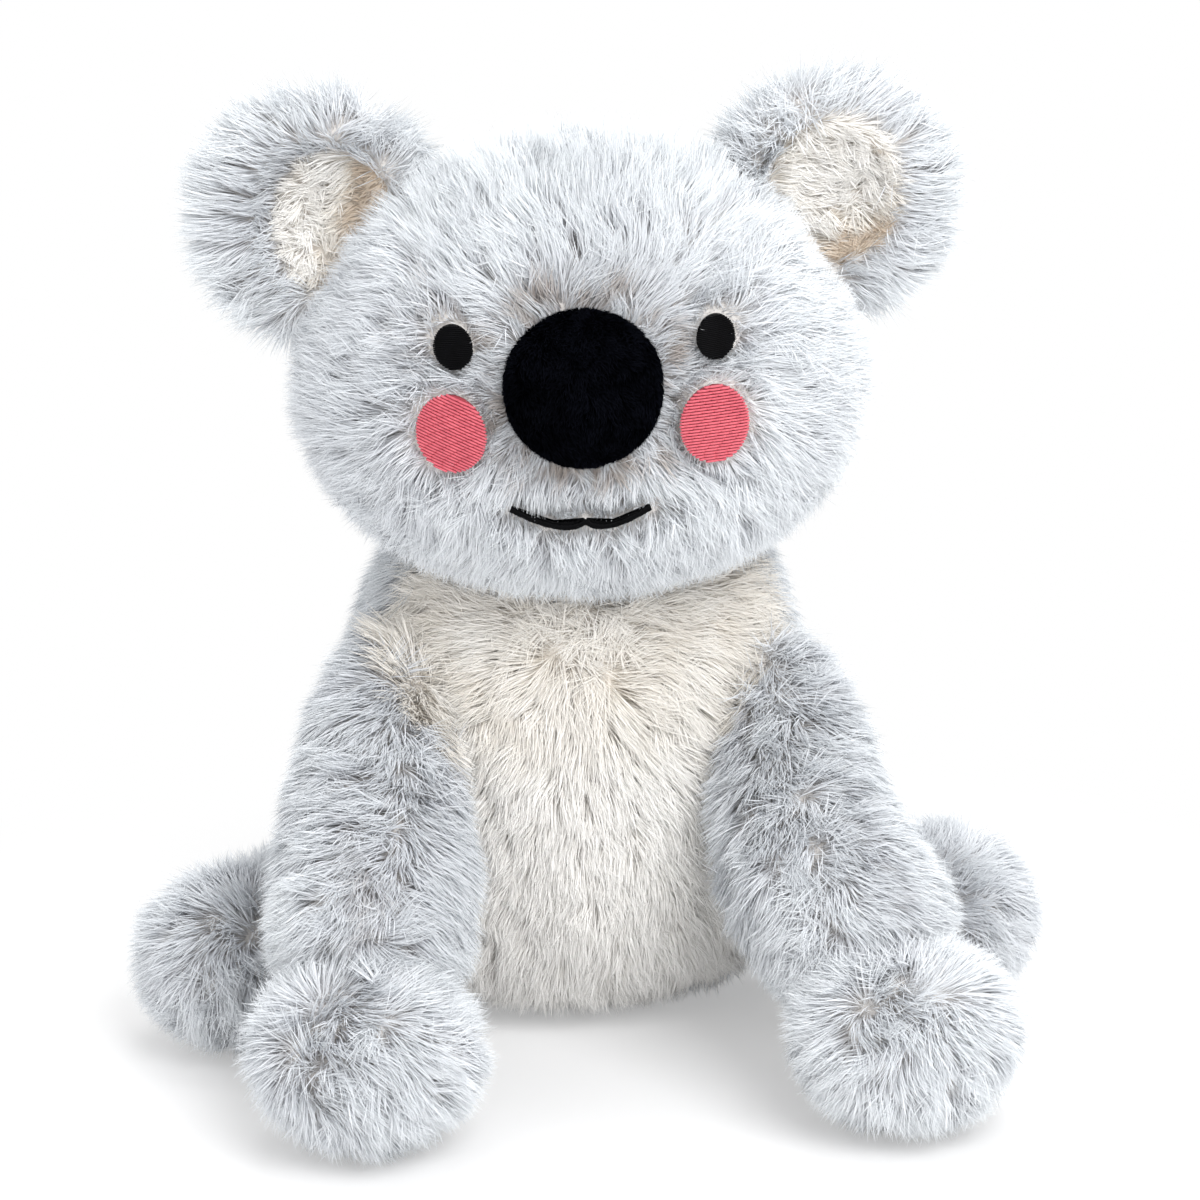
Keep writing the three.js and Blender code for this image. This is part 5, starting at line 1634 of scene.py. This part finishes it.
def bottleRing(height, shrink):
    # one level of the pillow or the neck; its inner side is shrunk by the wall and is smooth
    neck = bottle["bore"] if shrink else bottle["neck"]
    level = (height - shrink) / (bottleTop - 2 * shrink)
    if level < 1:
        share = abs(2 * level - 1)
        power = bottle["upperFullness"] if level > 0.5 else bottle["lowerFullness"]
        edge = bottle["edgeFullness"]
        width = (bottle["halfWidth"] - shrink) * (1 - share ** power) ** (1 / power)
        depth = (bottle["halfThickness"] - shrink) * (1 - share ** edge) ** (1 / edge)
        if level > 0.5:
            width, depth = max(width, neck + bottle["spread"]), max(depth, neck - bottle["thin"])
    else:
        out = 1 - smooth(bottleTop, bottleTop + bottle["shoulder"], height)
        width, depth = neck + bottle["spread"] * out, neck - bottle["thin"] * out
    ring = ringPoints(width, depth, height, bottleTurns)
    x, y = ring[:, 0], ring[:, 1]
    if not shrink and level < 1:
        ribbed = smooth(0.10, 0.17, level) * smooth(0.88, 0.80, level)
        ribbed = ribbed * smooth(0.80, 0.72, np.abs(x) / bottle["halfWidth"])
        wave = 0.5 + 0.5 * np.cos(fullTurn * x / bottle["ribPitch"])
        y -= np.sign(y) * ribbed * bottle["ribHeight"] * (1 - wave ** 0.7)
        x += np.sign(x) * bottle["seamProud"] * np.exp(-(y / bottle["seamHalf"]) ** 2)
    elif not shrink:
        above = height - bottleTop - bottle["shoulder"]
        for low in bottle["bandLevels"]:
            band = smooth(low, low + 0.4, above) - smooth(low + 1.8, low + 2.2, above)
            ring[:, :2] *= 1 - bottle["bandDepth"] * band / neck
    return ring


def spunPiece(name, node, body, slot, look, rings, poles=()):
    # rings that close in a loop, or at two poles on the bottle's axis
    count, last = len(rings[0]), (len(rings) - 1) * len(rings[0])
    faces = loopFaces(len(rings), count, not poles)
    if poles:
        faces += fanFaces(last + count, 0, count) + fanFaces(last + count + 1, last, count)
    points = np.vstack([*rings, *([[0, 0, height]] for height in poles)])
    piece = closedMesh(name, points + np.array([0, bottleBehind, bottle["foot"]]), faces, looks[look])
    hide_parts(node)
    joinBody(body, slot, piece)


# up the outer side from the foot to the neck's lip, then down the inner side
wall = bottle["wall"]
outerLevels = np.concatenate([
    bottleTop * (0.5 - 0.5 * np.cos(np.linspace(0.06, math.pi - 0.05, 54))),
    bottleTop + bottle["shoulder"] * np.linspace(0, 1, 7),
    np.linspace(bottleTop + 4.5, neckTop - 0.5, 24),
])
innerLevels = np.concatenate([
    [neckTop - 6, bottleTop + bottle["shoulder"]],
    wall + (bottleTop - 2 * wall) * (0.5 + 0.5 * np.cos(np.linspace(0.12, math.pi - 0.12, 18))),
])
rings = [bottleRing(height, 0) for height in outerLevels]
rings += [ringPoints(radius, radius, neckTop + up, bottleTurns) for radius, up in bottle["lip"]]
rings += [bottleRing(height, wall) for height in innerLevels]
spunPiece("bottle_rubber", "bottle", "bottle", "rubber", "rubberSkin", rings, (0, wall))

# Insert, washer and stopper: turned rings with a screw thread. Profiles give a radius and a height.
thread = {
    "pitch": 4, "crest": 7.6, "root": 6.2, "clearance": 0.45, "from": 87, "turns": 1.75, "sides": 128,
    "insertLow": 83, "insertOuter": 10.7, "insertBore": 8.5,
    "insertEdge": ((-0.3, 0), (-1.2, 0), (-1.35, -0.18), (-1.6, -0.18), (-1.75, 0)),
    "washerLow": 96.3, "washer": 1.5, "washerOuter": 11,
    "plugLow": 85, "plugEdge": ((-2, 0), (-0.6, 0), (-0.15, 0.2)),
    "gripLow": 98.1, "gripRadius": 12, "lobes": 8, "lobeDepth": 0.9,
    "gripSide": ((10.2, 0), (11.0, 0.05), (11.55, 0.3), (11.9, 0.75), (12, 1.3), (12, 5.2), (12, 9.2),
                 (11.9, 9.75), (11.55, 10.2), (11.0, 10.45), (10.2, 10.5), (8.4, 10.5)),
    "gripTop": ((8.0, 10.4), (7.7, 10.0), (7.4, 9.6), (7.0, 9.5), (4.4, 9.5), (4.2, 9.7), (4.0, 10.1),
                (3.6, 10.25), (1.5, 10.25)),
}
threadTurns = turnsRound(thread["sides"])


def threadRing(height, clearance, ends):
    # one level of the thread's surface
    root, crest = thread["root"] + clearance, thread["crest"] + clearance
    turn = threadTurns / fullTurn
    place = turn + np.round((height - thread["from"]) / thread["pitch"] - turn)
    off = np.abs(height - thread["from"] - thread["pitch"] * place)
    low = 1.2 + clearance - 0.7 * (root - 5.2) / (crest - 5.2)
    ridge = np.clip((low - off) / (low - 0.5 - clearance), 0, 1)
    if ends:
        last = thread["turns"]
        ridge = ridge * smooth(-0.03, 0.05, place) * smooth(last + 0.03, last - 0.05, place)
    return lathed([(root + (crest - root) * ridge, height)])[0]


def lathed(profile, radius=0, height=0, scale=1):
    # a ring for each radius and height of a profile, both counted from the values given
    sizes = [((radius + r) * scale, height + h) for r, h in profile]
    return [ringPoints(size, size, level, threadTurns) for size, level in sizes]


low, outer = thread["insertLow"], thread["insertOuter"]
rings = lathed([(outer, height) for height in np.linspace(low, neckTop - 0.3, 6)])
rings += lathed(thread["insertEdge"], outer, neckTop) + lathed([(thread["insertBore"], neckTop)])
rings += [threadRing(height, thread["clearance"], False) for height in np.linspace(neckTop - 0.4, low, 66)]
spunPiece("neck_insert_brass", "neck_insert", "bottle", "brass", "brassTurned", rings)

bore, outer, high = thread["root"] + 0.3, thread["washerOuter"], thread["washer"]
washerProfile = [
    (bore, 0.3), (bore + 0.3, 0), (outer - 0.4, 0), (outer - 0.1, 0.15), (outer, 0.5), (outer, high - 0.5),
    (outer - 0.1, high - 0.15), (outer - 0.4, high), (bore + 0.3, high), (bore, high - 0.3),
]
spunPiece("washer_ring", "washer", "washer", "black_rubber", "washerRubber",
          lathed(washerProfile, 0, thread["washerLow"]))

plugLow, gripLow = thread["plugLow"], thread["gripLow"]
lobes = 0.5 - 0.5 * np.cos(thread["lobes"] * threadTurns)
lobes = 1 - thread["lobeDepth"] / thread["gripRadius"] * lobes
rings = lathed(thread["plugEdge"], thread["root"], plugLow)
rings += [threadRing(height, 0, True) for height in np.linspace(plugLow + 0.6, gripLow - 0.2, 64)]
rings += lathed([(thread["root"] + 0.3, gripLow)])
rings += lathed(thread["gripSide"], 0, gripLow, lobes) + lathed(thread["gripTop"], 0, gripLow)
spunPiece("stopper_screw", "stopper", "stopper", "stopper_plastic", "stopperPlastic", rings,
          (plugLow, gripLow + thread["gripTop"][-1][1]))
print("bottle made")

bpy.data.objects.remove(strand)
